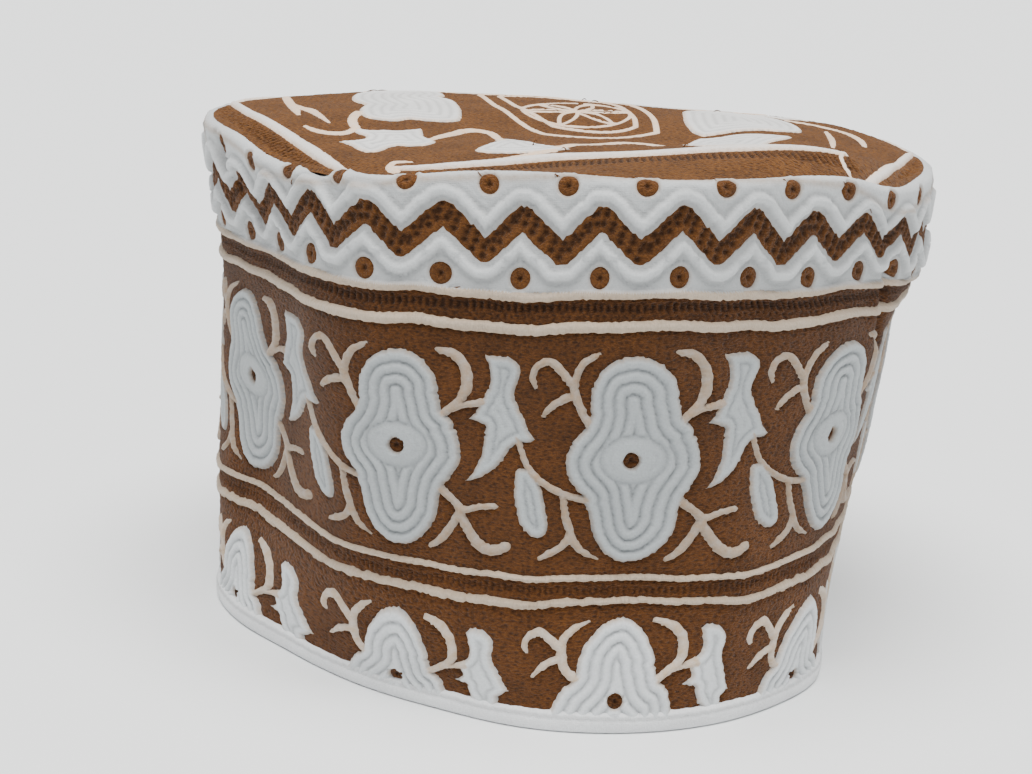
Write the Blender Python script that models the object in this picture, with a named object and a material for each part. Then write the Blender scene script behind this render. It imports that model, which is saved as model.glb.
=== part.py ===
"""Kummah: a soft, round embroidered cap that stands on its rim, hollow and open below.

A quilted side band carries a domed crown, and a folded white tape binds the rim.
The band is one cloth strip of constant length, bent to a plan outline at four levels,
then pushed in and out by a few folds. Tables and sizes are in millimetres,
and the finished meshes are in metres, with +Z up and the front towards -Y.
"""
import math
from collections import namedtuple

import bmesh
import bpy
import numpy as np

MM = 0.001

# Driving sizes of the cloth
FLOWERS = 11
CLOTH_THICKNESS = 2.0
SEAM_GAP = 0.3
CORD_RELIEF = 0.8
CORD_HALF_WIDTH = 1.4

# Heights on the cloth of the four corded lines, measured up from the rim
LOWER_CORDS = (27.8, 33.2)
UPPER_CORDS = (87.7, 94.2)

# Binding tape round the rim: a channel that the band stands in
BINDING_HEIGHT = 4.0
TAPE_THICKNESS = 1.0
RIM_HEIGHT = 0.01

# Levels at which the plan outline is given
WAIST_HEIGHT = 33.0
SHOULDER_HEIGHT = 94.0

# Distance of the front flower's axis to the right of the plan centre
FRONT_AXIS_X = 14.4

# Mesh density
COLUMNS_PER_FLOWER = 9
OUTLINE_STEPS = 1440
RISE_STEPS = 72

# Plan radius of the band at each level, a row for each upright section.
# Bearing is in degrees from the front, positive towards +X; seam is the crown seam's height.
Section = namedtuple("Section", "bearing rim waist shoulder edge seam")
SECTIONS = (
    Section(-165, 103, 99, 93, 88, 113),
    Section(-140, 91, 90, 87, 87, 114),
    Section(-115, 82, 83, 84, 86, 117),
    Section(-90, 82, 83, 84, 88, 118),
    Section(-71, 84, 84, 85, 89, 118),
    Section(-60, 84, 78, 83, 88, 118),
    Section(-48, 83, 81, 85, 90, 116),
    Section(-37, 85, 87, 91, 91, 115),
    Section(-27, 88, 93, 94, 93, 115),
    Section(-15, 92, 95, 91, 88, 117),
    Section(-3, 98, 98, 93, 90, 118),
    Section(9, 100, 97, 98, 96, 118),
    Section(21, 98, 98, 94, 96, 118),
    Section(33, 93, 93, 91, 93, 118),
    Section(43, 88, 88, 90, 93, 118),
    Section(54, 78, 81, 90, 92, 117),
    Section(66, 72, 76, 88, 90, 114),
    Section(82, 69, 74, 87, 88, 114),
    Section(104, 70, 73, 84, 86, 115),
    Section(128, 79, 79, 83, 85, 115),
    Section(152, 94, 94, 89, 87, 113),
    Section(175, 104, 99, 92, 88, 112),
)

# Dents and bulges: depth is outward when positive; spans are half widths.
Fold = namedtuple("Fold", "bearing height depth bearing_span height_span")
FOLDS = (
    Fold(76, 68, -2.5, 30, 18),
    Fold(76, 78, -3.2, 30, 9),
    Fold(51, 86, -2.5, 7, 14),
    Fold(-112, 52, -4.0, 16, 34),
    Fold(-160, 60, 4.0, 22, 40),
    Fold(136, 66, -4.0, 14, 34),
    Fold(170, 74, 3.0, 16, 30),
)

# Crown: height of its middle, where that is in plan, and the soft swells and dips of its cloth
CROWN_MIDDLE = (0.0, 6.0, 121.0)
CROWN_RINGS = (0.92, 0.81, 0.66, 0.49, 0.31, 0.14)
Swell = namedtuple("Swell", "x y rise reach_x reach_y")
SWELLS = (
    Swell(4, -76, 2.0, 74, 22),
    Swell(8, -31, -3.6, 62, 28),
    Swell(-50, -22, 1.5, 40, 34),
    Swell(56, -16, 1.5, 40, 34),
    Swell(-44, 34, 1.5, 40, 34),
    Swell(30, 46, -1.5, 44, 34),
)

WHITE_COTTON = (0.82, 0.82, 0.80, 1.0)
BROWN_THREAD = (0.20, 0.075, 0.025, 1.0)
LIGHT_BROWN_THREAD = (0.26, 0.10, 0.035, 1.0)


def clear_scene():
    """Removes every object, so the script can be run again."""
    for old in list(bpy.data.objects):
        bpy.data.objects.remove(old, do_unlink=True)


def cotton(name, colour, roughness):
    """A matt cloth material."""
    material = bpy.data.materials.new(name)
    material.use_nodes = True
    shader = material.node_tree.nodes["Principled BSDF"]
    shader.inputs["Base Color"].default_value = colour
    shader.inputs["Roughness"].default_value = roughness
    shader.inputs["Metallic"].default_value = 0.0
    return material


def hermite(x, x0, x1, y0, y1, m0, m1):
    """Cubic from (x0, y0) to (x1, y1) with slopes m0 and m1."""
    span = x1 - x0
    t = (x - x0) / span
    return ((2 * t**3 - 3 * t**2 + 1) * y0 + (t**3 - 2 * t**2 + t) * span * m0
            + (3 * t**2 - 2 * t**3) * y1 + (t**3 - t**2) * span * m1)


def around(column, bearings):
    """Smooth closed curve through one column of SECTIONS, read at some bearings."""
    knots = np.array([row.bearing for row in SECTIONS], float)
    values = np.array([getattr(row, column) for row in SECTIONS], float)
    knots = np.concatenate([[knots[-1] - 360], knots, [knots[0] + 360, knots[1] + 360]])
    values = np.concatenate([[values[-1]], values, [values[0], values[1]]])
    slopes = np.gradient(values, knots)
    bearings = (np.asarray(bearings, float) - knots[1]) % 360 + knots[1]
    left = np.clip(np.searchsorted(knots, bearings, side="right") - 1, 1, len(knots) - 3)
    right = left + 1
    return hermite(bearings, knots[left], knots[right], values[left], values[right],
                   slopes[left], slopes[right])


def outline(level, positions):
    """Points of one level's outline at even cloth positions, from the front flower's axis.

    Positions run from 0 to 1 round the cap, towards +X first.
    """
    bearings = np.linspace(0, 360, OUTLINE_STEPS, endpoint=False)
    radii = around(level, bearings)
    x = radii * np.sin(np.radians(bearings))
    y = -radii * np.cos(np.radians(bearings))
    height = {"rim": 0.0, "waist": WAIST_HEIGHT, "shoulder": SHOULDER_HEIGHT}.get(level)
    z = around("seam", bearings) if height is None else np.full_like(x, height)
    points = np.column_stack([x, y, z])
    start = int(np.argmin(np.where(y < 0, np.abs(x - FRONT_AXIS_X), np.inf)))
    points = np.roll(points, -start, axis=0)
    loop = np.vstack([points, points[:1]])
    steps = np.linalg.norm(np.diff(loop[:, :2], axis=0), axis=1)
    travelled = np.concatenate([[0.0], np.cumsum(steps)]) / steps.sum()
    return np.column_stack([np.interp(positions, travelled, loop[:, k]) for k in range(3)])


def fold_depth(x, y, z):
    """Sum of the folds at some points, outward positive."""
    bearing = np.degrees(np.arctan2(x, -y))
    total = np.zeros_like(x)
    for fold in FOLDS:
        across = np.abs((bearing - fold.bearing + 180) % 360 - 180) / fold.bearing_span
        up = np.abs(z - fold.height) / fold.height_span
        weight = np.cos(np.clip(across, 0, 1) * math.pi / 2)**2
        total += fold.depth * weight * np.cos(np.clip(up, 0, 1) * math.pi / 2)**2
    return total


def band_columns(count):
    """Upright curves of the band: for each column, points from the rim to the seam."""
    positions = np.arange(count) / count
    levels = [outline(name, positions) for name in ("rim", "waist", "shoulder", "edge")]
    columns = []
    for rim, waist, shoulder, edge in zip(*levels):
        knots = np.array([rim[2], waist[2], shoulder[2], edge[2]])
        z = np.linspace(0, edge[2], RISE_STEPS)
        span = np.clip(np.searchsorted(knots, z, side="right") - 1, 0, 2)
        plan = []
        for k in range(2):
            values = np.array([rim[k], waist[k], shoulder[k], edge[k]])
            slopes = np.gradient(values, knots)
            plan.append(hermite(z, knots[span], knots[span + 1], values[span],
                                values[span + 1], slopes[span], slopes[span + 1]))
        x, y = plan
        reach = np.hypot(x, y)
        depth = fold_depth(x, y, z)
        columns.append(np.column_stack([x + depth * x / reach, y + depth * y / reach, z]))
    return columns


def on_column(column, heights):
    """Points of one column at heights measured along the cloth; the top is the seam."""
    steps = np.linalg.norm(np.diff(column, axis=0), axis=1)
    rise = np.concatenate([[0.0], np.cumsum(steps)])
    seam = rise[-1]
    heights = [seam + height if height <= 0 else height for height in heights]
    return np.column_stack([np.interp(heights, rise, column[:, k]) for k in range(3)])


def band_grid(columns, heights):
    """Grid of points, a row for each height, with the outward normals."""
    grid = np.array([on_column(column, heights) for column in columns]).transpose(1, 0, 2)
    along = np.roll(grid, -1, axis=1) - np.roll(grid, 1, axis=1)
    up = np.gradient(grid, axis=0)
    normal = np.cross(along, up)
    return grid, normal / np.linalg.norm(normal, axis=2, keepdims=True)


def closed_ring(name, rows, material):
    """Joins rows of points into one closed ring of cloth; the last row meets the first."""
    mesh = bmesh.new()
    rings = [[mesh.verts.new(point * MM) for point in row] for row in rows]
    for low, high in zip(rings, rings[1:] + rings[:1]):
        for i, j in zip(range(len(low)), list(range(1, len(low))) + [0]):
            mesh.faces.new((low[i], low[j], high[j], high[i]))
    return finish(name, mesh, material)


def finish(name, mesh, material):
    """Turns a bmesh into a named object with its faces outward."""
    bmesh.ops.recalc_face_normals(mesh, faces=mesh.faces)
    data = bpy.data.meshes.new(name)
    mesh.to_mesh(data)
    mesh.free()
    data.materials.append(material)
    data.shade_smooth()
    data.set_sharp_from_angle(angle=math.radians(40))
    piece = bpy.data.objects.new(name, data)
    bpy.context.scene.collection.objects.link(piece)
    return piece


def side_band(columns):
    """The quilted wall, with a low rib along each corded line."""
    foot = TAPE_THICKNESS + SEAM_GAP
    outer = [(foot, 0.0), (BINDING_HEIGHT, 0.0), (14.0, 0.0)]
    for cord in LOWER_CORDS:
        outer += [(cord - CORD_HALF_WIDTH, 0.0), (cord, CORD_RELIEF), (cord + CORD_HALF_WIDTH, 0.0)]
    outer += [(48.0, 0.0), (61.0, 0.0), (72.0, 0.0), (80.0, 0.0)]
    for cord in UPPER_CORDS:
        outer += [(cord - CORD_HALF_WIDTH, 0.0), (cord, CORD_RELIEF), (cord + CORD_HALF_WIDTH, 0.0)]
    top = -(CLOTH_THICKNESS + SEAM_GAP)
    outer += [(104.0, 0.0), (top, 0.0)]
    inner = [foot, BINDING_HEIGHT, 14.0, 30.5, 48.0, 61.0, 72.0, 80.0, 91.0, 104.0, top]
    grid, normal = band_grid(columns, [height for height, _ in outer])
    relief = np.array([rise for _, rise in outer])[:, None, None]
    outside = grid + normal * relief
    grid, normal = band_grid(columns, inner)
    inside = grid - normal * CLOTH_THICKNESS
    for row in (outside[0], inside[0]):
        row[:, 2] = foot
    for row in (outside[-1], inside[-1]):
        row[:, 2] = [column[-1, 2] - CLOTH_THICKNESS - SEAM_GAP for column in columns]
    rows = list(outside) + list(inside[::-1])
    return closed_ring("side_band", rows, cotton("embroidered_cotton", BROWN_THREAD, 0.85))


def rim_binding(columns):
    """Folded tape: a channel with a flat underside, clear of the band all round."""
    grid, normal = band_grid(columns, [RIM_HEIGHT, TAPE_THICKNESS, BINDING_HEIGHT])
    foot, floor, top = grid
    foot[:, 2] = 0.0
    out = normal[0] * np.array([1.0, 1.0, 0.0])
    out /= np.linalg.norm(out, axis=1, keepdims=True)
    outer = SEAM_GAP + TAPE_THICKNESS
    inner = -(CLOTH_THICKNESS + SEAM_GAP)
    rows = [foot + out * outer, top + out * outer, top + out * SEAM_GAP,
            floor + out * SEAM_GAP, floor + out * inner, top + out * inner,
            top + out * (inner - TAPE_THICKNESS), foot + out * (inner - TAPE_THICKNESS)]
    return closed_ring("rim_binding", rows, cotton("white_tape", WHITE_COTTON, 0.8))


def crown_height(x, y):
    """Swells of the crown cloth at a plan point."""
    total = 0.0
    for swell in SWELLS:
        away = math.hypot((x - swell.x) / swell.reach_x, (y - swell.y) / swell.reach_y)
        total += swell.rise * math.cos(min(away, 1.0) * math.pi / 2)**2
    return total


def crown(columns):
    """The domed top, whose edge lies over the band's upper edge."""
    edge = np.array([column[-1] for column in columns])
    middle = np.array(CROWN_MIDDLE)
    rings = [edge]
    for part in CROWN_RINGS:
        ring = middle + (edge - middle) * part
        dome = (edge[:, 2] - middle[2]) * part**2 + middle[2]
        swell = [crown_height(x, y) * (1 - part**4) for x, y in ring[:, :2]]
        ring[:, 2] = dome + np.array(swell)
        rings.append(ring)
    apex = middle + np.array([0.0, 0.0, crown_height(middle[0], middle[1])])
    drop = np.array([0.0, 0.0, CLOTH_THICKNESS])
    mesh = bmesh.new()
    sheets = []
    for lift in (np.zeros(3), -drop):
        loops = [[mesh.verts.new((point + lift) * MM) for point in ring] for ring in rings]
        tip = mesh.verts.new((apex + lift) * MM)
        for outer, inner in zip(loops, loops[1:]):
            for i in range(len(outer)):
                j = (i + 1) % len(outer)
                mesh.faces.new((outer[i], outer[j], inner[j], inner[i]))
        for i in range(len(loops[-1])):
            mesh.faces.new((loops[-1][i], loops[-1][(i + 1) % len(loops[-1])], tip))
        sheets.append(loops[0])
    top, under = sheets
    for i in range(len(top)):
        j = (i + 1) % len(top)
        mesh.faces.new((top[i], under[i], under[j], top[j]))
    return finish("crown", mesh, cotton("crown_cotton", LIGHT_BROWN_THREAD, 0.85))


def centre_on_origin(pieces):
    """Puts the middle of the whole cap over the origin, with its rim on the ground."""
    corners = np.array([vertex.co for piece in pieces for vertex in piece.data.vertices])
    low, high = corners.min(axis=0), corners.max(axis=0)
    shift = (-(low[0] + high[0]) / 2, -(low[1] + high[1]) / 2, -low[2])
    for piece in pieces:
        for vertex in piece.data.vertices:
            vertex.co = [value + move for value, move in zip(vertex.co, shift)]


def build():
    """The whole cap."""
    clear_scene()
    columns = band_columns(FLOWERS * COLUMNS_PER_FLOWER)
    centre_on_origin([side_band(columns), rim_binding(columns), crown(columns)])


build()
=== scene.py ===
"""Kummah: the quilted and embroidered cloth of a soft round cap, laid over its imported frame.

The band's cloth is charted flat, in millimetres. Position runs round the cap towards +X from the
axis of the front flower, and rise runs up from the rim. One flower repeat is triangulated with its
motifs, raised into cords and quilting, repeated round the cap, and laid on the outer face of the
side band. The crown is charted in plan and laid on the top face of the crown.
"""
import math

import bpy
import numpy as np
from mathutils import Matrix, Vector
from mathutils.bvhtree import BVHTree
from mathutils.geometry import delaunay_2d_cdt


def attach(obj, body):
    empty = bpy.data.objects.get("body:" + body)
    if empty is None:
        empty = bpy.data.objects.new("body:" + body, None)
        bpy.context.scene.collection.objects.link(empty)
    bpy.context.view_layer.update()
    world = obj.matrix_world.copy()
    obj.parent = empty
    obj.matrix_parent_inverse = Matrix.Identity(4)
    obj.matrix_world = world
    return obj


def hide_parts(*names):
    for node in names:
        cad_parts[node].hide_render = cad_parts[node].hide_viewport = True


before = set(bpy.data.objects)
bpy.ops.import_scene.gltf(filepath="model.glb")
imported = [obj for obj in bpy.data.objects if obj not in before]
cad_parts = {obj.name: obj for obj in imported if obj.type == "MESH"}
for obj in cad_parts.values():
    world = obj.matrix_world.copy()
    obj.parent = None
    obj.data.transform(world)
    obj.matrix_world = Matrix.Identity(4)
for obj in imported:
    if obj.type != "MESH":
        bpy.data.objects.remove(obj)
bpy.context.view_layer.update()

MM = 0.001
TURN = 2 * math.pi

# Camera at the photograph's angle
CAMERA_PLACE = (-0.00985, -0.5347, 0.1807)
CAMERA_TILT = 76.29
CAMERA_ROLL = 2.44
CAMERA_LENS = 75.74

# Cloth sizes
FLOWERS = 11
FLOWER_WIDTH = 51.0
ZIGZAG_WIDTH = 17.0
HALF_FLOWER = FLOWER_WIDTH / 2
GIRTH = FLOWERS * FLOWER_WIDTH
FRONT_AXIS_X = 14.75
CLOTH_THICKNESS = 2.0
CELL_FOOT = 2.6
CELL_TOP = 122.0

# Levels at which the wall is measured, clear of the corded lines
WALL_LEVELS = (1.6, 5, 11, 17, 22, 38, 44, 50, 57, 64, 70, 76, 81, 91, 100, 104, 108)

# The crown's edge is at least this far from the middle
CROWN_LEAST_RADIUS = 60.0

# Rounded fold where the band turns in at the crown seam
FOLD_RADIUS = 1.5
FOLD_REACH = 14.0
UNDER_SLOPE = 0.25

# Centres and half widths of the corded lines
CORD_LINES = ((28.1, 0.72), (33.1, 0.72), (87.6, 1.05), (93.9, 1.0))


def hermite(t, a, b, slope_a, slope_b):
    """Smooth curve from a to b that leaves and arrives at the given slopes."""
    return ((2 * t**3 - 3 * t**2 + 1) * a + (t**3 - 2 * t**2 + t) * slope_a
            + (3 * t**2 - 2 * t**3) * b + (t**3 - t**2) * slope_b)


def smooth_run(points, step=0.6):
    """A run of points joined by one smooth curve, sampled at about one step."""
    p = np.array(points, float)
    if len(p) < 3:
        bends = np.vstack([p[1:] - p[:-1], p[-1:] - p[-2:-1]])
    else:
        inner = (p[2:] - p[:-2]) / 2
        first = (p[1] - p[0]) * 1.5 - inner[0] / 2
        last = (p[-1] - p[-2]) * 1.5 - inner[-1] / 2
        bends = np.vstack([first, inner, last])
    out = []
    for a, b, slope_a, slope_b in zip(p[:-1], p[1:], bends[:-1], bends[1:]):
        count = max(1, int(round(np.linalg.norm(b - a) / step)))
        out.append(hermite((np.arange(count) / count)[:, None], a, b, slope_a, slope_b))
    return np.vstack(out + [p[-1:]])


def outline(*runs):
    """A closed outline from smooth runs that meet at corners."""
    return np.vstack([smooth_run(run + after[:1])[:-1] for run, after in zip(runs, runs[1:] + runs[:1])])


def along_path(path):
    """Distance of each point of a path from its start."""
    return np.concatenate([[0], np.cumsum(np.linalg.norm(np.diff(path, axis=0), axis=1))])


def unit(vectors):
    """The same directions with length 1."""
    return vectors / np.linalg.norm(vectors, axis=-1)[..., None]


# Share of a charted vine's width that stands clear of the ground
SLIMNESS = 0.92


def stroke(points, widths, step=0.6):
    """The outline of a sewn vine: a smooth centre line with its widths and round ends."""
    line = smooth_run(points, step)
    along = along_path(line)
    marks = [along[np.argmin(np.hypot(*(line - p).T))] for p in np.array(points, float)]
    half = np.interp(along, marks, np.full(len(points), widths, float)) / 2 * SLIMNESS
    heading = unit(np.gradient(line, axis=0))
    side = pairs(-heading[:, 1], heading[:, 0])
    turns = np.linspace(math.pi / 2, -math.pi / 2, 5)[1:-1]
    caps = [[line[end] + half[end] * (way * math.cos(a) * heading[end] + way * math.sin(a) * side[end])
             for a in turns] for end, way in ((-1, 1), (0, -1))]
    return np.vstack([line + side * half[:, None], caps[0], (line - side * half[:, None])[::-1], caps[1]])


def ring(centre, radius, count=16, stretch=1.0):
    """A closed round outline."""
    turns = np.arange(count) / count * TURN
    return pairs(centre[0] + radius * np.cos(turns), centre[1] + radius * stretch * np.sin(turns))


def pairs(x, y):
    return np.stack([x, y], axis=1)


def inside(points, shape):
    """Which points lie inside a closed outline."""
    x, y = points[:, :1], points[:, 1:]
    a, b = shape, np.roll(shape, -1, axis=0)
    crosses = (a[:, 1] > y) != (b[:, 1] > y)
    rise = np.where(a[:, 1] == b[:, 1], 1.0, b[:, 1] - a[:, 1])
    hit = x < (b[:, 0] - a[:, 0]) * (y - a[:, 1]) / rise + a[:, 0]
    return (crosses & hit).sum(axis=1) % 2 == 1


def away(points, shape, closed=True):
    """Distance from each point to an outline."""
    a = shape if closed else shape[:-1]
    b = np.roll(shape, -1, axis=0) if closed else shape[1:]
    run = b - a
    size = np.maximum((run**2).sum(axis=1), 1e-9)
    best = np.full(len(points), 1e9)
    for start in range(0, len(points), 4000):
        q = points[start:start + 4000, None, :] - a[None]
        t = np.clip((q * run).sum(axis=2) / size, 0, 1)
        gap = q - t[:, :, None] * run
        best[start:start + 4000] = np.sqrt((gap**2).sum(axis=2).min(axis=1))
    return best


def near(points, shape, reach):
    """Which points are within reach of an outline's own box."""
    low, high = shape.min(axis=0) - reach, shape.max(axis=0) + reach
    return ((points > low) & (points < high)).all(axis=1)


def held(points, shape):
    """Indices of the points inside an outline."""
    k = np.flatnonzero(near(points, shape, 0.1))
    return k[inside(points[k], shape)]


def nearest(points, line):
    """Index of the point of a line that is nearest to each point."""
    parts = [points[k:k + 4000, None] - line[None] for k in range(0, max(len(points), 1), 4000)]
    return np.concatenate([(part**2).sum(axis=2).argmin(axis=1) for part in parts])


def soft_step(x, low, high):
    """0 below low, 1 above high, smooth between."""
    t = np.clip((x - low) / (high - low), 0, 1)
    return t * t * (3 - 2 * t)


def bell(x, width, centre=0.0):
    """1 at the centre, falling away smoothly on both sides."""
    return np.exp(-((x - centre) / width) ** 2)


def hump(x, centre, half_width):
    """A rounded ridge across x."""
    return np.sqrt(np.clip(1 - ((x - centre) / half_width) ** 2, 0, 1))


# Width and height of the quilted rolls in the flowers
ROLL = 2.5
ROLL_HEIGHT = 0.95
LEAF_ROLL = 2.3


def bank(x, period):
    """Round cords side by side, with narrow valleys between them."""
    return np.abs(np.sin(math.pi * x / period)) ** 0.8


# Main flower of the band, clockwise from its top, with its corners at the four necks and the tip
FLOWER = outline(
    [(10.8, 68.2), (12.4, 67.2), (13, 65.2), (13.9, 63), (14.5, 60.5), (14.6, 58), (14.1, 56), (13.1, 54.3)],
    [(11.4, 51.8), (10.5, 49), (10.3, 47), (9.9, 44.8), (9.1, 42.4), (7.4, 40.1), (5.1, 38.3), (2.5, 37.2),
     (-0.1, 36.9), (-2.8, 37.5), (-5.5, 39.5), (-7.4, 42.7), (-8.2, 45.7), (-8.6, 48), (-9.3, 49.5)],
    [(-9.3, 51.3), (-10.5, 52.5), (-12, 54.2), (-13, 56.5), (-13.6, 59), (-13.2, 61.5), (-12.4, 63.7),
     (-11, 65.6), (-10, 66.8)],
    [(-9.6, 67.9), (-8.9, 70), (-9.1, 72), (-9, 74.5), (-8.5, 76.8), (-7.4, 78.8), (-5.4, 80.6), (-2.8, 81.7),
     (-0.1, 82.1), (2.7, 81.7), (5.3, 80.5), (7.3, 78.7), (8.5, 76.6), (9.2, 74.5), (9.7, 72), (10, 69.8)],
)
FLOWER_HOLE = ring((0.3, 59.9), 1.75)
FLOWER_HEART = ring((0.5, 60.2), 7.2, 28, 0.76)

# Bird-shaped leaf right of the flower
BIRD_LEAF = outline(
    [(18.3, 82.1), (19.3, 80), (20, 77.7), (19.9, 75.5), (19, 73.6), (18, 71.6), (17.5, 69.9), (16.9, 68.8)],
    [(16.1, 67.6), (18, 67.1), (19.3, 66.5), (19.8, 64.8), (19.5, 62.5), (19.2, 60.5), (18.8, 58.5),
     (18.1, 56.5), (16.9, 54.2)],
    [(15.9, 52.9), (18.1, 53.8), (20.6, 55.3), (22.6, 57), (24, 59.2), (25.6, 61.8), (26.8, 63)],
    [(28.2, 63.3), (29.8, 63.3)],
    [(30.4, 64.2), (29, 66), (27.8, 69), (26.4, 71.8), (25.5, 74), (26.1, 77), (26.5, 79), (25.9, 80.8),
     (24.1, 81.9), (22.1, 81.9)],
)

DROP_LEAF = outline(
    [(-24, 57), (-24.5, 54.5), (-24.3, 51), (-23.8, 47.5), (-22.8, 44.5), (-21, 42.6), (-19, 42),
     (-17.3, 42.8), (-16.8, 45), (-17.3, 48), (-17.9, 50.3), (-18.2, 52.4), (-19.5, 54.9), (-21.3, 56.9)],
)

# Half flower that rises from the rim binding
HALF_BLOOM = outline(
    [(8.7, 11), (10.4, 9.8), (11.5, 8), (12.2, 6), (12.3, 4), (12.3, 2.2)],
    [(12.3, 2), (12.3, -8)],
    [(12.3, -8), (-16.6, -8)],
    [(-16.6, -8), (-16.6, 2)],
    [(-16.6, 2.2), (-15.5, 4), (-14.3, 5), (-13.3, 7.5), (-12, 9.8), (-10.8, 11)],
    [(-9.4, 12.8), (-9.3, 15.8), (-8.6, 18.4), (-7.2, 20.8), (-5.2, 22.9), (-2.8, 24.3), (-0.4, 24.8),
     (1.9, 24.3), (4, 22.7), (5.6, 20.6), (6.9, 17.9), (7.8, 14.8), (8.4, 12)],
)
HALF_BLOOM_HOLE = ring((-0.9, 6.9), 1.75)

LOW_LEAF = outline(
    [(17.3, 22.5), (18.4, 23.3), (20.5, 23.3), (22.3, 22.6), (23.5, 21), (23.6, 19.5), (23.1, 18),
     (23.7, 15.8), (24.8, 13.3), (26, 10.8)],
    [(27, 8.6), (25.5, 7.3)],
    [(24.9, 6.8), (25, 5), (25.3, 4), (25.3, 2.2)],
    [(25.3, 2), (20.6, 2)],
    [(20.6, 2.2), (20.3, 4.2), (18.9, 5.8), (18.2, 7.5), (18, 9.2), (16.5, 9.6)],
    [(14.8, 10), (16.2, 11), (16.9, 12.6), (16.3, 13.4), (16.4, 15.2), (17.6, 16.4), (18.3, 17.8),
     (18.4, 19.5), (17.8, 21.2)],
)

# Vines: centre line, then the width at each point
VINES = (
    stroke([(-8.6, 67.6), (-10.3, 69.6), (-12, 73), (-12.8, 76)], (2.6, 2.0, 2.0, 2.0)),
    stroke([(-12.8, 75.6), (-12.3, 78.5), (-11, 80.8), (-9, 82), (-7.6, 82.8)], (1.9, 1.8, 1.8, 1.5, 0.5)),
    stroke([(-12.9, 76), (-15.5, 79), (-17.6, 80.9), (-19.3, 81.1), (-21, 80), (-21.6, 78), (-20.9, 75.8)],
           (1.9, 1.9, 1.8, 1.8, 1.7, 1.6, 0.9)),
    stroke([(-12.4, 74), (-15.5, 72.8), (-17.5, 71.2), (-18.9, 69.5)], (2.2, 1.9, 1.7, 1.0)),
    stroke([(10.2, 68), (12, 69.9), (13.6, 71.6), (14.6, 73.6), (15, 76), (14.6, 78.8), (13.1, 81),
            (11.2, 82.2), (8.8, 82.6)], (2.2, 2.0, 2.1, 2.5, 2.6, 2.5, 2.2, 2.0, 1.2)),
    stroke([(12.2, 69.8), (14.4, 70.8), (16.6, 71.2), (18.5, 71.7)], (1.9, 1.8, 1.9, 2.4)),
    stroke([(-8.6, 50.9), (-13, 51.7), (-16.5, 53.3), (-19.5, 55.2), (-21.7, 57.6), (-23.3, 61),
            (-24.3, 64.4)], (2.0, 1.6, 1.8, 1.8, 1.7, 1.5, 1.2)),
    stroke([(-13.8, 51.4), (-13.1, 47), (-12.1, 43.5), (-12, 41.6)], (1.7, 1.7, 1.9, 2.2)),
    stroke([(-12.1, 42.3), (-13.4, 40.4), (-15.6, 38.9), (-18.2, 37.5)], (2.2, 1.7, 1.7, 1.3)),
    stroke([(-11.9, 42.4), (-10.7, 40.4), (-8.8, 38.7), (-6.4, 37.6)], (2.0, 1.8, 1.4, 0.6)),
    stroke([(10.3, 51.3), (12, 49.6), (13.9, 48), (15.3, 46)], (2.3, 2.1, 2.0, 2.2)),
    stroke([(15, 46.2), (17.4, 46.9), (20, 47.6), (22.6, 47.9)], (2.0, 1.6, 1.6, 1.5)),
    stroke([(15, 45.6), (13.2, 42.3), (11.2, 39.4), (8.6, 37.5)], (2.1, 1.9, 1.9, 1.2)),
    stroke([(15.2, 45.4), (17, 42.2), (19.3, 39.3), (22.2, 38), (25.5, 39.3)], (2.3, 2.4, 2.7, 2.7, 2.0)),
)

LOW_VINES = (
    stroke([(-8.9, 11.6), (-11.4, 14), (-12.5, 17), (-12.7, 19.6)], (2.4, 2.0, 2.1, 2.1)),
    stroke([(-12.7, 19.2), (-12.2, 21.5), (-10.3, 23.3), (-7.4, 24.5)], (1.9, 1.9, 1.7, 0.5)),
    stroke([(-12.8, 19.4), (-14.6, 21.2), (-16.6, 22.9), (-18.3, 23.2), (-20.2, 22.2), (-20.9, 20.6),
            (-20.3, 19.3)], (1.9, 1.9, 1.8, 1.8, 1.7, 1.5, 0.8)),
    stroke([(-12.4, 17.4), (-14.6, 16.8), (-16.8, 15.4), (-18.7, 13.2)], (2.2, 2.0, 1.8, 0.9)),
    stroke([(8.2, 11), (10.4, 12.6), (12.4, 14.2), (13.8, 16), (13.9, 19), (12.7, 21.6), (10.6, 23.2),
            (7.3, 24.2)], (2.1, 2.0, 2.1, 2.4, 2.6, 2.4, 2.0, 1.2)),
    stroke([(12.4, 13.7), (14.6, 14.2), (17.4, 15)], (1.9, 1.6, 2.6)),
)


def frayed(heights, per_repeat, amount, seed):
    """Small uneven steps along an edge, the same in every repeat."""
    steps = np.random.default_rng(seed).normal(0, amount, per_repeat)
    return heights + steps[np.arange(len(heights)) % per_repeat]


def strip(s, low, high):
    """The outline of a strip between two edges."""
    return np.vstack([pairs(s, low), pairs(s, high)[::-1]])


def cord_line(level, half_width):
    """A corded line, which rises a little over each flower."""
    s = np.linspace(-HALF_FLOWER - 3, HALF_FLOWER + 3, 77)
    height = level + 0.35 * np.cos(s / FLOWER_WIDTH * TURN) + 0.12 * np.sin(s / ZIGZAG_WIDTH * TURN)
    low, high = [frayed(height + side * half_width, 68, 0.1, int(level) + (side > 0)) for side in (-1, 1)]
    return strip(s, low, high)


def zigzag_edge(s, low, high, foot, top):
    """Height of one edge of the zigzag, lowest at whole repeats, with rounded foot and top."""
    phase = np.abs((s / ZIGZAG_WIDTH + 0.5) % 1 - 0.5) * 2
    return low + (high - low) * np.clip((phase - foot) / (1 - foot - top), 0, 1)


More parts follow.
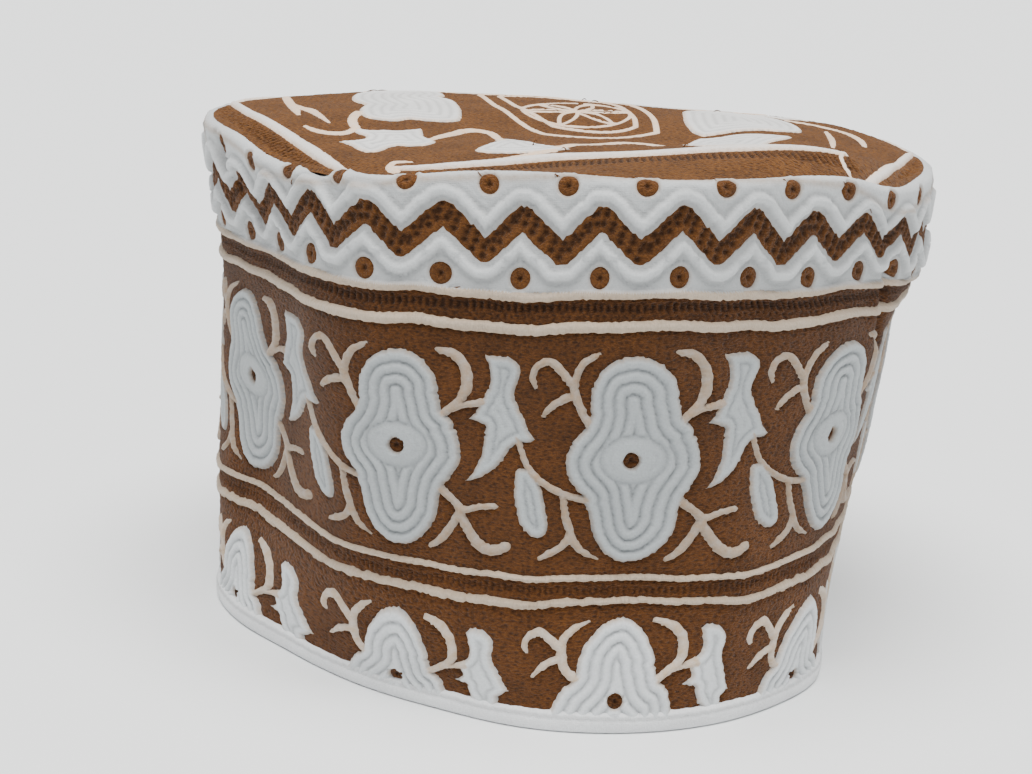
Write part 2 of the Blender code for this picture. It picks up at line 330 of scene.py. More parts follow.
def zigzag():
    s = np.arange(-HALF_FLOWER - ZIGZAG_WIDTH / 2, HALF_FLOWER + ZIGZAG_WIDTH / 2 + 0.01, ZIGZAG_WIDTH / 28)
    from_peak = (s / ZIGZAG_WIDTH) % 1 - 0.5
    lower = zigzag_edge(s, 100.0, 106.5, 0.1, 0.02) + 0.25 * bell(from_peak, 1 / 9)
    upper = zigzag_edge(s, 105.2, 112.5, 0.02, 0.07) - 0.5 * bell(from_peak, 1 / 14)
    return strip(s, frayed(lower, 84, 0.17, 7), frayed(upper, 84, 0.17, 8))


ZIGZAG = zigzag()
LOWER_DOTS = [ring((s, 97.3), 2.25, 18) for s in (-8.5, 8.5, 25.5)]
UPPER_DOTS = [ring((s + 0.6, 116.4), 2.2, 18) for s in (-17, 0, 17)]


def ruffle(shape, amount, seed):
    """Small frayed steps along an outline."""
    return shape + np.random.default_rng(seed).normal(0, amount, shape.shape)


def with_repeats(shapes):
    """Each outline, with the copies of it that reach into the repeat from its neighbours."""
    out = []
    for shape in shapes:
        for shift in (-FLOWER_WIDTH, 0, FLOWER_WIDTH):
            moved = shape + np.array([shift, 0])
            if moved[:, 0].max() > -HALF_FLOWER - 3 and moved[:, 0].min() < HALF_FLOWER + 3:
                out.append(moved)
    return out


# Wall of the band

def cad_tree(node):
    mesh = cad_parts[node].data
    corners = [v.co / MM for v in mesh.vertices]
    return BVHTree.FromPolygons(corners, [tuple(p.vertices) for p in mesh.polygons])


def rounded(values, spread):
    """Smooths samples round a closed loop; spread is in samples."""
    count = len(values)
    waves = np.fft.rfft(values, axis=0)
    keep = np.exp(-2 * (math.pi * np.arange(len(waves)) / count * spread) ** 2)
    return np.fft.irfft(waves * keep.reshape(-1, *([1] * (values.ndim - 1))), count, axis=0)


LOOP_STEPS = 720
TURNS = (np.arange(LOOP_STEPS) / LOOP_STEPS - 0.5) * TURN
BEARINGS = [Vector((math.sin(turn), -math.cos(turn), 0)) for turn in TURNS]
OUTSIDE = 160
SEAM_SEARCH = np.arange(108, 121.5, 0.4)


def met(tree, out, height):
    """Where a level ray towards the middle first meets a solid."""
    return tree.ray_cast(out * OUTSIDE + Vector((0, 0, float(height))), -out)[0]


def level_loop(tree, height):
    """Plan points of a wall's outer face at one height, from the back by the left, front and right."""
    return rounded(np.array([met(tree, out, height)[:2] for out in BEARINGS]), 4)


def seam_loop(tree):
    """Points of the crown's edge: the highest place where its side still stands at full width."""
    points = []
    for out in BEARINGS:
        hits = []
        for height in SEAM_SEARCH:
            hit = met(tree, out, height)
            if hit is not None and hit.dot(out) > CROWN_LEAST_RADIUS:
                hits.append((hit.x, hit.y, height, hit.dot(out)))
        hits = np.array(hits)
        points.append(hits[hits[:, 3] > hits[:, 3].max() - 0.8][-1, :3])
    return rounded(np.array(points), 6)


# Grid of the cloth: position round the cap and rise, a millimetre apart
POSITIONS = np.arange(-GIRTH / 2, GIRTH / 2 + 0.5, 1.0)
RISES = np.arange(0, CELL_TOP + 2.1, 1.0)


def by_position(loop):
    """Resamples a closed loop at each millimetre of cloth, from the back, with 0 at the front axis."""
    closed = np.vstack([loop, loop[:1]])
    along = along_path(closed[:, :2])
    front = closed[:, 1] < 0
    axis = np.interp(FRONT_AXIS_X, closed[front, 0], along[front])
    wanted = (POSITIONS / GIRTH * along[-1] + axis) % along[-1]
    return np.stack([np.interp(wanted, along, column) for column in closed.T], axis=1)


def curve_through(knots, values, wanted):
    """Smooth curve through values at uneven knots."""
    slopes = np.gradient(values, knots, axis=0)
    k = np.clip(np.searchsorted(knots, wanted) - 1, 0, len(knots) - 2)
    span = (knots[k + 1] - knots[k])[:, None]
    t = (wanted - knots[k])[:, None] / span
    return hermite(t, values[k], values[k + 1], span * slopes[k], span * slopes[k + 1])


# Where the crown's seam sags: position, reach and depth
SEAM_DIPS = ((72, 17, 3.8), (-90, 24, 1.8), (150, 40, 1.0))


def wall_table():
    """Points and outward directions of the band's cloth at each millimetre of position and rise."""
    tree = cad_tree("side_band")
    loops = [by_position(level_loop(tree, height)) for height in WALL_LEVELS]
    seam = by_position(seam_loop(cad_tree("crown")))
    for place, reach, depth in SEAM_DIPS:
        seam[:, 2] -= depth * bell(POSITIONS, reach, place)
    centre = seam[:, :2].mean(axis=0)
    table = np.zeros((len(POSITIONS), len(RISES), 3))
    heights = np.zeros(len(POSITIONS))
    for k in range(len(POSITIONS)):
        top = seam[k, 2]
        knots = np.array(WALL_LEVELS + (top,), float)
        values = np.array([loop[k] for loop in loops] + [seam[k, :2]])
        z = np.linspace(0, top - FOLD_RADIUS, 240)
        plan = curve_through(knots, values, z)
        low = z < WALL_LEVELS[0]
        plan[low] = plan[~low][0]
        inward = unit(centre - plan[-1])
        fold = [(*(plan[-1] + inward * FOLD_RADIUS * (1 - math.cos(a))), z[-1] + FOLD_RADIUS * math.sin(a))
                for a in np.linspace(0, math.pi / 2, 12)[1:]]
        under = [(*(plan[-1] + inward * (FOLD_RADIUS + r)), top - UNDER_SLOPE * r)
                 for r in np.linspace(0, FOLD_REACH, 8)[1:]]
        path = np.vstack([np.column_stack([plan, z]), fold, under])
        along = along_path(path)
        heights[k] = along[len(z) - 1] + FOLD_RADIUS * 1.2
        for axis in range(3):
            table[k, :, axis] = np.interp(RISES, along, path[:, axis])
    table[-1] = table[0]
    return table, heights, seam


def outward(table):
    """Outward direction of the cloth at each place of the table."""
    around = np.concatenate([table[-2:-1], table, table[1:2]])
    return unit(np.cross(around[2:] - around[:-2], np.gradient(table, axis=1)))


WALL, SEAM_RISE, SEAM = wall_table()
WALL_OUT = outward(WALL)


def sway(s, v, seed, size):
    """Smooth hand-made wandering that closes round the cap."""
    rng = np.random.default_rng(seed)
    total = np.zeros_like(s)
    for turns in rng.integers(6, 46, 14):
        tilt = rng.uniform(-3, 3)
        total += np.sin(s / GIRTH * TURN * turns + v / 60 * tilt + rng.uniform(0, TURN)) / math.sqrt(turns)
    return total * size


# How far the cloth is drawn along the wall at its left and right turns, how much of that at each
# rise, and how far it is drawn up at the sides and in front
LEFT_DRAW = ((-280, 0), (-230, 0), (-130, -15), (-105, -17), (-90, -15.5), (-80, -10.5), (-72, -3.5),
             (-62, 0))
LEFT_SHARE = ((0, 0.68), (25, 0.9), (37, 0.85), (60, 1.05), (82, 1.1), (90, 0.4), (96, 0))
RIGHT_DRAW = ((5, 0), (30, 2.4), (51, 5), (65, 6), (90, 5), (170, 0))
RIGHT_SHARE = ((0, -0.5), (8, -0.5), (25, 0.7), (37, 1.1), (60, 1.0), (75, 1.7), (82, 2.2), (90, 1),
               (96, 0))
SIDE_RISE = ((0, 0), (5.6, -1.2), (25, -2.6), (28, -0.7), (37, 0.4), (50, 0), (60, -0.8), (82, -2.5),
             (90, -1.6), (97, -1.2), (120, -1.2))
FRONT_RISE = ((0, 0), (37, 0.5), (50, 0), (80, 0), (97, 1.2), (120, 1.0))


def eased(knots, wanted):
    """Smooth curve through knots, level beyond its ends."""
    k = np.array(knots, float)
    return curve_through(k[:, 0], k[:, 1:], np.clip(wanted, k[0, 0], k[-1, 0]))[:, 0]


def wrapped(s):
    """Positions brought into one turn round the cap."""
    return (s + GIRTH / 2) % GIRTH - GIRTH / 2


def drawn(s, v):
    """Where a place of the flat chart comes to lie on the wall."""
    turned = wrapped(s)
    front = bell(turned, 26, 5)
    moved = eased(LEFT_DRAW, turned) * eased(LEFT_SHARE, v)
    moved += eased(RIGHT_DRAW, turned) * eased(RIGHT_SHARE, v)
    rise = eased(SIDE_RISE, v) * (1 - front) + eased(FRONT_RISE, v) * front
    turn = soft_step(turned, 66, 95) * (1 - soft_step(turned, 120, 200))
    sag = 2.6 * turn * soft_step(v, 88, 97)
    for place, reach, depth in SEAM_DIPS:
        sag += 0.9 * depth * bell(turned, reach, place) * soft_step(v, 98, 116)
    return s + moved, v + rise - sag


# Folds and dents of the worn cloth: two ends on the wall, half width and depth, out of the wall if positive
FOLDS = (
    ((-123, 115.5), (-118.5, 110), 1.4, -2.4),
    ((-117, 109), (-105, 100), 1.6, -0.9),
    ((-113, 111), (-101, 102), 2.2, 0.6),
    ((-76, 116), (-68, 111), 2.6, -1.1),
    ((-69, 117), (-60, 112), 2.6, 0.9),
    ((68, 106), (73, 95), 1.6, -0.9),
    ((73, 95), (78, 78), 1.8, -1.9),
    ((70, 100), (72, 84), 2.6, 0.6),
    ((52, 117), (44, 110), 0.8, -0.5),
    ((30, 116), (36, 109), 1.2, -0.35),
    ((-20, 117), (-24, 112), 1.4, -0.3),
    ((-126, 74), (-125, 52), 13.0, -3.0),
    ((-30, 84), (-22, 60), 7.0, -0.5),
    ((24, 82), (30, 48), 8.0, -0.5),
)


def folded(s, v):
    """Depth of the folds at places on the wall."""
    places = pairs(wrapped(s), v)
    total = np.zeros(len(s))
    for a, b, half_width, depth in FOLDS:
        ends = np.array((a, b), float)
        k = np.flatnonzero(near(places, ends, 2.5 * half_width))
        total[k] += depth * bell(away(places[k], ends, closed=False), half_width)
    return total


def bilinear(table, row, column):
    """Values of a table between its grid points."""
    i, j = row.astype(int), column.astype(int)
    shape = (-1,) + (1,) * (table.ndim - 2)
    a, b = (row - i).reshape(shape), (column - j).reshape(shape)
    return ((table[i, j] * (1 - a) + table[i + 1, j] * a) * (1 - b)
            + (table[i, j + 1] * (1 - a) + table[i + 1, j + 1] * a) * b)


def on_wall(s, v, lift, loose=1.0):
    """Points on the band's cloth, lifted off it along its outward direction."""
    s, v = drawn(s, v)
    s = s + sway(s, v, 3, 0.32) * loose
    v = v + sway(s, v, 5, 0.20) * loose
    column = np.minimum((s - POSITIONS[0]) % GIRTH, GIRTH - 1e-9)
    row = np.clip(v, 0, RISES[-1] - 1.001)
    ease = soft_step(v, 4, 20) * (1 - soft_step(v, 104, 114))
    ripple = sway(s, v * 1.7, 11, 0.2) * ease + folded(s, v)
    return bilinear(WALL, column, row) + unit(bilinear(WALL_OUT, column, row)) * (lift + ripple)[:, None]


# Meshes

def hexagons(low, high, spacing, spread=0.08, seed=1):
    """Points on a hexagonal grid, slightly unsettled."""
    rng = np.random.default_rng(seed)
    rows = np.arange(low[1] + spacing * 0.5, high[1], spacing * 0.866)
    out = []
    for k, y in enumerate(rows):
        x = np.arange(low[0] + spacing * (0.5 + 0.5 * (k % 2)), high[0] - spacing * 0.3, spacing)
        out.append(pairs(x, np.full_like(x, y)))
    points = np.vstack(out)
    return points + rng.uniform(-spread, spread, points.shape) * spacing


def thinned(points, outlines, gap):
    """Drops the grid points that lie too close to an outline."""
    keep = np.ones(len(points), bool)
    for shape in outlines:
        k = np.flatnonzero(near(points, shape, gap))
        keep[k[away(points[k], shape) < gap]] = False
    return points[keep]


def triangulate(points, outlines, frame_loop):
    """Triangles over scattered points, with every outline kept as edges."""
    verts = [Vector(p) for p in points]
    edges = []
    for shape in list(outlines) + [frame_loop]:
        base = len(verts)
        verts.extend(Vector(p) for p in shape)
        edges.extend((base + k, base + (k + 1) % len(shape)) for k in range(len(shape)))
    flat, _, faces, _, _, _ = delaunay_2d_cdt(verts, edges, [], 0, 1e-5)
    return np.array([tuple(p) for p in flat]), np.array([f for f in faces if len(f) == 3])


def new_mesh(name, points, triangles, cloth, marks, material):
    """A mesh object with cloth coordinates and marks for its material."""
    used = np.unique(triangles)
    index = np.full(len(points), -1)
    index[used] = np.arange(len(used))
    tri = index[triangles]
    mesh = bpy.data.meshes.new(name)
    mesh.vertices.add(len(used))
    mesh.vertices.foreach_set("co", (points[used] * MM).astype(np.float32).ravel())
    mesh.loops.add(tri.size)
    mesh.loops.foreach_set("vertex_index", tri.astype(np.int32).ravel())
    mesh.polygons.add(len(tri))
    mesh.polygons.foreach_set("loop_start", np.arange(0, tri.size, 3, dtype=np.int32))
    mesh.polygons.foreach_set("use_smooth", np.ones(len(tri), bool))
    layer = mesh.uv_layers.new(name="cloth")
    layer.data.foreach_set("uv", (cloth / 100).astype(np.float32).ravel())
    colours = mesh.attributes.new("marks", "FLOAT_COLOR", "POINT")
    rgba = np.ones((len(used), 4), np.float32)
    rgba[:, :3] = marks[used]
    colours.data.foreach_set("color", rgba.ravel())
    mesh.update()
    mesh.validate()
    mesh.materials.append(material)
    obj = bpy.data.objects.new(name, mesh)
    bpy.context.scene.collection.objects.link(obj)
    return obj


# One repeat of the band

COARSE = 1.0
QUILT_STEP = 0.46 * COARSE
FIELD_STEP = 0.52 * COARSE
GROUND_STEP = 0.74 * COARSE
EDGE_STEP = 0.6

# Lift of the points where white cloth meets brown
BORDER_LIFT = 0.02

FLOWERS_SEWN = with_repeats([ruffle(FLOWER, 0.12, 21), ruffle(HALF_BLOOM, 0.12, 22)])
LEAVES = (BIRD_LEAF, DROP_LEAF, LOW_LEAF)
LEAVES_SEWN = with_repeats([ruffle(leaf, 0.11, 23 + k) for k, leaf in enumerate(LEAVES)])
VINES_SEWN = with_repeats([ruffle(vine, 0.09, 30 + k) for k, vine in enumerate(VINES + LOW_VINES)])
CORDS_SEWN = [cord_line(*line) for line in CORD_LINES]
FIELD_FOOT = 93.9

# Rises at which the band is split into pieces
HEM_TOP = 26.7
FLOWERS_FOOT = 34.5
FLOWERS_TOP = 86
ZIGZAG_FOOT = 94.5
FIELD = np.array([(-30, FIELD_FOOT), (30, FIELD_FOOT), (30, CELL_TOP + 3), (-30, CELL_TOP + 3)], float)
HOLES = with_repeats([FLOWER_HOLE, HALF_BLOOM_HOLE])
DOTS = with_repeats(LOWER_DOTS + UPPER_DOTS)

# Eyelets of the zigzag in three rows, a little uneven and the same in every flower repeat
ZIGZAG_UNEVEN = np.random.default_rng(40).normal(0, 0.2, (3, 27, 2))
ZIGZAG_STEPS = ((-7.5, 110.1), (-5.8, 108.2), (-3.9, 106.2), (-2, 104.4), (0, 102.7), (2, 104.4),
                (3.9, 106.2), (5.8, 108.2), (7.5, 110.1))
ZIGZAG_ROWS = (-1.5, 0.1, 1.6)
ZIGZAG_PITS = [(s + ZIGZAG_WIDTH * k + out * 0.35 + ZIGZAG_UNEVEN[k % 3, 3 * n + m, 0],
                rise + out + ZIGZAG_UNEVEN[k % 3, 3 * n + m, 1])
               for k in range(-2, 3) for n, (s, rise) in enumerate(ZIGZAG_STEPS)
               for m, out in enumerate(ZIGZAG_ROWS)]


# Rise of the rows of eyelets between the corded lines
LOWER_EYELETS = 30.6
UPPER_EYELETS = 91.45
SMALL_EYELETS = 89.6


def pits(points, centres, size):
    """Depth from 0 to 1 of small round holes; size is in millimetres."""
    c = np.array(centres, float)
    depth = np.zeros(len(points))
    k = np.flatnonzero(near(points, c, 2 * size))
    gap = np.sqrt(((points[k, None, :] - c[None]) ** 2).sum(axis=2)).min(axis=1)
    depth[k] = np.exp(-(gap / size) ** 2.5)
    return depth


def pit_row(points, rise, spacing, half_width, half_height, offset=0.0):
    """Depth from 0 to 1 of a row of eyelets that repeats along the cloth."""
    across = np.abs((points[:, 0] / spacing + offset + 0.5) % 1 - 0.5) * spacing
    return np.exp(-(across / half_width) ** 2 - ((points[:, 1] - rise) / half_height) ** 4)


def edge_tint(d):
    """Cream thread along the edge of a sewn shape."""
    return bell(d, 0.55)


def quilted(base, height, period):
    """Profile of a sewn shape filled with rolls that follow its edge: lift, painted shade of its valleys and
    tint.
    """
    def profile(p, d):
        rolls = bank(d, period)
        return base * soft_step(d, 0, 0.5) + height * rolls, 1 - rolls, edge_tint(d)
    return profile


def corded(half_width, height, tint, edge=0.0, spread=1.0):
    """Profile of a round sewn cord, with its tint and what its edge adds to that."""
    def profile(p, d):
        lift = height * np.sqrt(np.clip(1 - (1 - np.minimum(d / half_width, 1)) ** 2, 0, 1))
        return lift, np.zeros(len(p)), tint + edge * bell(d, spread)
    return profile


def flower_profile(p, d):
    """Rolls that follow the flower's edge, round a smooth heart with an arc on each side, with painted shade
    in the valleys between the rolls.
    """
    border = away(p, FLOWER_HEART)
    arcs = 0.3 * soft_step(np.abs(p[:, 0] - 0.5), 2.6, 4.2) * (1 - bank(np.minimum(border, 3.3), 2.2))
    heart = 0.3 + 0.7 * bank(np.minimum(border, 2.6), 5.2) - arcs * soft_step(border, 1.0, 1.8)
    rolls = np.where(inside(p, FLOWER_HEART), heart, bank(d, ROLL))
    rolls = np.minimum(rolls, 0.3 + 0.7 * bank(np.minimum(border, ROLL / 2), ROLL))
    return 0.22 * soft_step(d, 0, 0.5) + ROLL_HEIGHT * rolls, 1 - rolls, edge_tint(d)


def field_profile(p, d):
    """Plain quilting with one ridge beside the zigzag and a low collar round each dot, with painted shade off
    the ridge and in the grooves beside it.
    """
    gap = away(p, ZIGZAG)
    ridge = hump(gap, 2.25, 1.15)
    height = 0.26 * soft_step(gap, 0, 0.4) * soft_step(d, 0, 1.2) + 1.25 * ridge
    tint = bell(gap, 0.4)
    for dot in DOTS:
        k = np.flatnonzero(near(p, dot, 1.6))
        to_dot = away(p[k], dot)
        height[k] = np.minimum(height[k], 0.16 + 0.7 * soft_step(to_dot, 0.3, 1.6))
        height[k] += 0.30 * hump(to_dot, 0.5, 0.5)
        tint[k] = np.maximum(tint[k], 0.9 * bell(to_dot, 0.45))
    # Painted shade: in the two grooves beside the ridge, and over the flat field off the ridge, less towards
    # the top
    groove_shade = bell(gap, 0.75, 3.65) + bell(gap, 0.6, 0.8)
    field_shade = 0.62 * (1 - ridge) * (1 - 0.7 * soft_step(p[:, 1], 109, 116))
    return height, np.clip(field_shade + 0.6 * groove_shade, 0, 1), tint * 0.7


def sewn_relief(points, groups):
    """Lift of sewn white shapes, distance to their edge, painted shade of the quilting valleys, tint, and
    where they lie.
    """
    lift, valley_shade, tint = np.zeros((3, len(points)))
    edge = np.full(len(points), 9.0)
    white = np.zeros(len(points), bool)
    for shapes, profile in groups:
        for shape in shapes:
            k = np.flatnonzero(near(points, shape, 2.0))
            d = away(points[k], shape)
            within = inside(points[k], shape)
            edge[k[~within]] = np.minimum(edge[k[~within]], d[~within])
            k, d = k[within], d[within]
            height, groove_shade, cream = profile(points[k], d)
            taller = height > lift[k]
            lift[k] = np.maximum(lift[k], height)
            valley_shade[k] = np.where(taller, groove_shade, valley_shade[k])
            tint[k] = np.where(taller | ~white[k], cream, tint[k])
            white[k] = True
    return lift, edge, valley_shade, tint, white


def white_relief(points):
    """Relief of the band's sewn shapes."""
    groups = [(FLOWERS_SEWN, flower_profile), (LEAVES_SEWN, quilted(0.30, 0.42, LEAF_ROLL)),
              (VINES_SEWN, corded(0.95, 0.85, 1.0))]
    groups += [([cord], corded(half_width, 1.05, 0.45, 0.4, 0.3))
               for cord, (_, half_width) in zip(CORDS_SEWN, CORD_LINES)]
    return sewn_relief(points, groups + [([FIELD], field_profile)])


def brown_patches(points):
    """Lift of the brown embroidery inside the white field and in the flowers' eyes, and where it lies."""
    lift, pit = np.zeros((2, len(points)))
    brown = np.zeros(len(points), bool)
    k = held(points, ZIGZAG)
    d = away(points[k], ZIGZAG)
    brown[k] = True
    pit[k] = pits(points[k], ZIGZAG_PITS, 0.82)
    lift[k] = 0.34 * soft_step(d, 0, 0.5) - 0.75 * pit[k] * soft_step(d, 0, 0.4)
    for shape in DOTS + HOLES:
        k = held(points, shape)
        brown[k] = True
        pit[k] = bell(np.linalg.norm(points[k] - shape.mean(axis=0), axis=1), 0.62)
        lift[k] = 0.30 * hump(away(points[k], shape), 0.9, 0.9) - 0.5 * pit[k]
    return lift, pit, brown


def ground_relief(points, edge):
    """Lift of the brown ground beside the white cloth, and its eyelets."""
    lower = 0.7 * pit_row(points, LOWER_EYELETS, FLOWER_WIDTH / 40, 0.30, 0.85)
    upper = pit_row(points, UPPER_EYELETS, FLOWER_WIDTH / 33, 0.5, 1.0)
    between = 0.6 * pit_row(points, SMALL_EYELETS, FLOWER_WIDTH / 33, 0.3, 0.5, 0.5)
    hollow = np.maximum(lower, np.maximum(upper, between))
    return 0.24 * soft_step(edge, 0, 0.6) - 0.7 * hollow * soft_step(edge, 0, 0.3), hollow


def covered(points, shapes, reach):
    """Which points lie in or within reach of any of the shapes."""
    mask = np.zeros(len(points), bool)
    for shape in shapes:
        k = np.flatnonzero(near(points, shape, reach) & ~mask)
        mask[k[inside(points[k], shape) | (away(points[k], shape) < reach)]] = True
    return mask


def corded_or_field(p):
    """Which points lie in the corded rows or the zigzag field, which have one even mesh."""
    return ((p[:, 1] > HEM_TOP - 0.1) & (p[:, 1] < FLOWERS_FOOT + 0.1)) | (p[:, 1] > FLOWERS_TOP)


def build_repeat():
    """Flat points and triangles of one flower repeat."""
    low, high = np.array([-HALF_FLOWER, CELL_FOOT]), np.array([HALF_FLOWER, CELL_TOP])
    fine, middle, coarse = [hexagons(low, high, step, seed=k + 1)
                            for k, step in enumerate((QUILT_STEP, FIELD_STEP, GROUND_STEP))]
    quilts = FLOWERS_SEWN + LEAVES_SEWN + VINES_SEWN
    fine = fine[~corded_or_field(fine)]
    coarse = coarse[~corded_or_field(coarse)]
    points = np.vstack([fine[covered(fine, quilts, 0.25)], middle[corded_or_field(middle)],
                        coarse[~covered(coarse, quilts, 0.45)]])
    sewn = quilts + CORDS_SEWN + [ZIGZAG] + HOLES + DOTS
    across = np.arange(-HALF_FLOWER, HALF_FLOWER + 0.01, EDGE_STEP)
    sides = np.arange(CELL_FOOT, CELL_TOP + 0.01, EDGE_STEP)
    box = np.array([(x, CELL_FOOT) for x in across] + [(HALF_FLOWER, y) for y in sides[1:]]
                   + [(x, sides[-1]) for x in across[-2::-1]] + [(-HALF_FLOWER, y) for y in sides[-2:0:-1]])
    flat, faces = triangulate(thinned(points, sewn, 0.24), sewn, box)
    x, y = flat[faces].mean(axis=1).T
    return flat, faces[(np.abs(x) < HALF_FLOWER) & (y > CELL_FOOT) & (y < sides[-1])]


def side_links(flat, faces):
    """Pairs the points on a repeat's left side with those on its right side."""
    used = np.unique(faces)
    sides = []
    for place in (-HALF_FLOWER, HALF_FLOWER):
        side = used[np.abs(flat[used, 0] - place) < 1e-3]
        sides.append(side[np.argsort(flat[side, 1])])
    if len(sides[0]) != len(sides[1]):
        raise ValueError("the sides of the repeat differ: %d and %d" % (len(sides[0]), len(sides[1])))
    return sides


def colour_border(faces, is_white, count):
    """Which points white cloth uses, and which of them lie on its border with brown."""
    on_white, on_brown = np.zeros((2, count), bool)
    on_white[faces[is_white]] = True
    on_brown[faces[~is_white]] = True
    return on_white, on_white & on_brown


def band_split(centre, is_white):
    """The band's pieces: name, triangles, slot and material."""
    v = centre[:, 1]
    low, middle, top = v < HEM_TOP, (v > FLOWERS_FOOT) & (v < FLOWERS_TOP), v > ZIGZAG_FOOT
    return (
        ("hem_quilting", is_white & low, "white_cotton", "hem_cotton"),
        ("flower_quilting", is_white & middle, "white_cotton", "cotton"),
        ("corded_lines", is_white & ~(low | middle | top), "white_cotton", "cord_cotton"),
        ("zigzag_quilting", is_white & top, "white_cotton", "field_cotton"),
        ("ground_embroidery", ~is_white & ~top, "brown_embroidery", "embroidery"),
        ("zigzag_embroidery", ~is_white & top, "brown_embroidery", "eyelets"),
    )


def band_pieces(materials):
    """The band's cloth, one repeat laid round the cap and split by colour and rise into pieces."""
    flat, faces = build_repeat()
    left, right = side_links(flat, faces)
    lift, edge, valley_shade, tint, white = white_relief(flat)
    patch_lift, patch_pit, patch = brown_patches(flat)
    ground_lift, ground_pit = ground_relief(flat, edge)
    height = np.where(patch, patch_lift, np.where(white, lift, ground_lift))
    centre = flat[faces].mean(axis=1)
    is_white = white_relief(centre)[4] & ~brown_patches(centre)[2]
    count = len(flat)
    on_white, border = colour_border(faces, is_white, count)
    height[border] = BORDER_LIFT
    tint = np.maximum(tint, 0.9 * border)
    points = np.vstack([flat + np.array([FLOWER_WIDTH * k, 0]) for k in range(-5, 6)])
    rough = np.tile(np.where(on_white, 0.032, 0.05), FLOWERS)
    lifts = np.tile(height, FLOWERS) + np.random.default_rng(9).normal(0, 1, len(points)) * rough
    placed = on_wall(points[:, 0], points[:, 1], lifts)
    above_fold = points[:, 1] - np.interp(points[:, 0], POSITIONS, SEAM_RISE)
    tints = np.maximum(np.tile(tint, FLOWERS), 0.7 * bell(above_fold, 0.8, -0.3))
    hollow = np.tile(np.where(patch, patch_pit, ground_pit), FLOWERS)
    for name, pick, slot, material in band_split(centre, is_white):
        chosen = faces[pick]
        tri, cloth = [], []
        for k in range(FLOWERS):
            link = np.arange(count) + k * count
            link[left] = right + ((k - 1) % FLOWERS) * count
            tri.append(link[chosen])
            cloth.append(flat[chosen].reshape(-1, 2) + np.array([FLOWER_WIDTH * (k - 5), 0]))
        # On brown the red mark is the eyelets' depth, which the material turns into painted shade; on white
        # it is the cream tint.
        red = hollow if slot == "brown_embroidery" else tints
        marks = np.stack([red, np.tile(valley_shade, FLOWERS), np.tile(np.clip(edge, 0, 2) / 2, FLOWERS)], axis=1)
        obj = new_mesh(name, placed, np.vstack(tri), np.vstack(cloth), marks, materials[material])
        dress(obj, slot, "side_band")


def dress(obj, slot, *nodes):
    """A piece of the cap: it rides on the cap's one body and stands for its nodes."""
    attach(obj, "root")
    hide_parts(*nodes)


# Crown

# Soft swell behind the front border and the dent beside it: plan place, rise and reach
CROWN_SWELLS = ((47, -69, 3.2, 24, 17), (-8, -80, -1.6, 20, 12))
CROWN_INSET = 1.2
SEAM_BLEND = 9.0
CROWN_STEP = 0.62 * COARSE
BAR_STEP = 0.42 * COARSE
BAR_SPACING = 1.5
CROWN_GROUND_STEP = 0.8 * COARSE
GRID = np.arange(-112.0, 113.0, 1.0)

# Ridges of the border, each side from left to right as seen from the middle, and the width at each point
BORDER_LINES = (
    (((-37.5, -79.5), (-32, -81), (-25.5, -80), (-15, -76.5), (-5, -74.4), (6, -74.4), (16, -74),
      (27.5, -72.2), (38, -70.6), (49, -67), (57, -62.5), (60, -60.5)),
     (1.2, 2.6, 3.2, 3.6, 3.8, 3.8, 3.8, 3.8, 3.6, 3.2, 2.4, 1.4)),
    (((62.6, -71.5), (65.5, -65), (70.2, -53.5), (74, -41), (78, -27), (82, -13), (84.6, -2)),
     (1.0, 1.9, 2.2, 2.2, 2.2, 2.2, 1.4)),
    (((85, 2), (82, 18), (75, 38), (65.5, 57), (55, 73), (47, 84)), (1.4, 3.0, 3.2, 3.2, 3.0, 1.4)),
    (((50, 82), (30, 86.5), (10, 88.5), (-12, 88.5), (-32, 86), (-50, 81)), (1.4, 3.0, 3.2, 3.2, 3.0, 1.4)),
    (((-45, 85), (-54, 73), (-64, 58), (-73, 40), (-79.5, 24), (-84, 9)), (1.4, 3.0, 3.2, 3.2, 3.0, 1.4)),
    (((-84, 12), (-81.3, 0), (-75.4, -20.4), (-68.6, -38), (-62.8, -49.8), (-57.2, -60.6), (-51.6, -70.4),
      (-47.6, -77.6)), (1.6, 2.6, 3.0, 3.2, 3.4, 3.4, 3.0, 1.6)),
)

# Sewn lines round the medallion, with their widths
MEDALLION_LINES = (
    (((-22.5, 30), (-19.2, 10), (-16.8, -3), (-11.9, -18), (-5.4, -29.2)), 1.6),
    (((-5.4, -29.2), (2.5, -30), (12, -28.4), (20.8, -22.5)), 1.6),
    (((20.8, -22.5), (20.6, -7), (18.6, 10), (15, 28)), 1.6),
    (((15, 28), (4, 36), (-8, 38), (-17, 36), (-22.5, 30)), 1.6),
    (((-17.4, 28), (-14.2, 10), (-11.9, -1.5), (-8.3, -11), (-3.6, -20.5)), 1.4),
    (((-3.6, -20.5), (4, -22.8), (11, -21.8), (16, -17)), 1.4),
    (((16, -17), (15.8, -6), (13.6, 9), (10.5, 23)), 1.4),
    (((10.5, 23), (2, 29), (-6, 31), (-13, 30), (-17.4, 28)), 1.4),
)
ROSETTE_CENTRE = (2.0, -4.0)
ROSETTE_RADIUS = 13.2
ROSETTE_STRETCH = 1.2

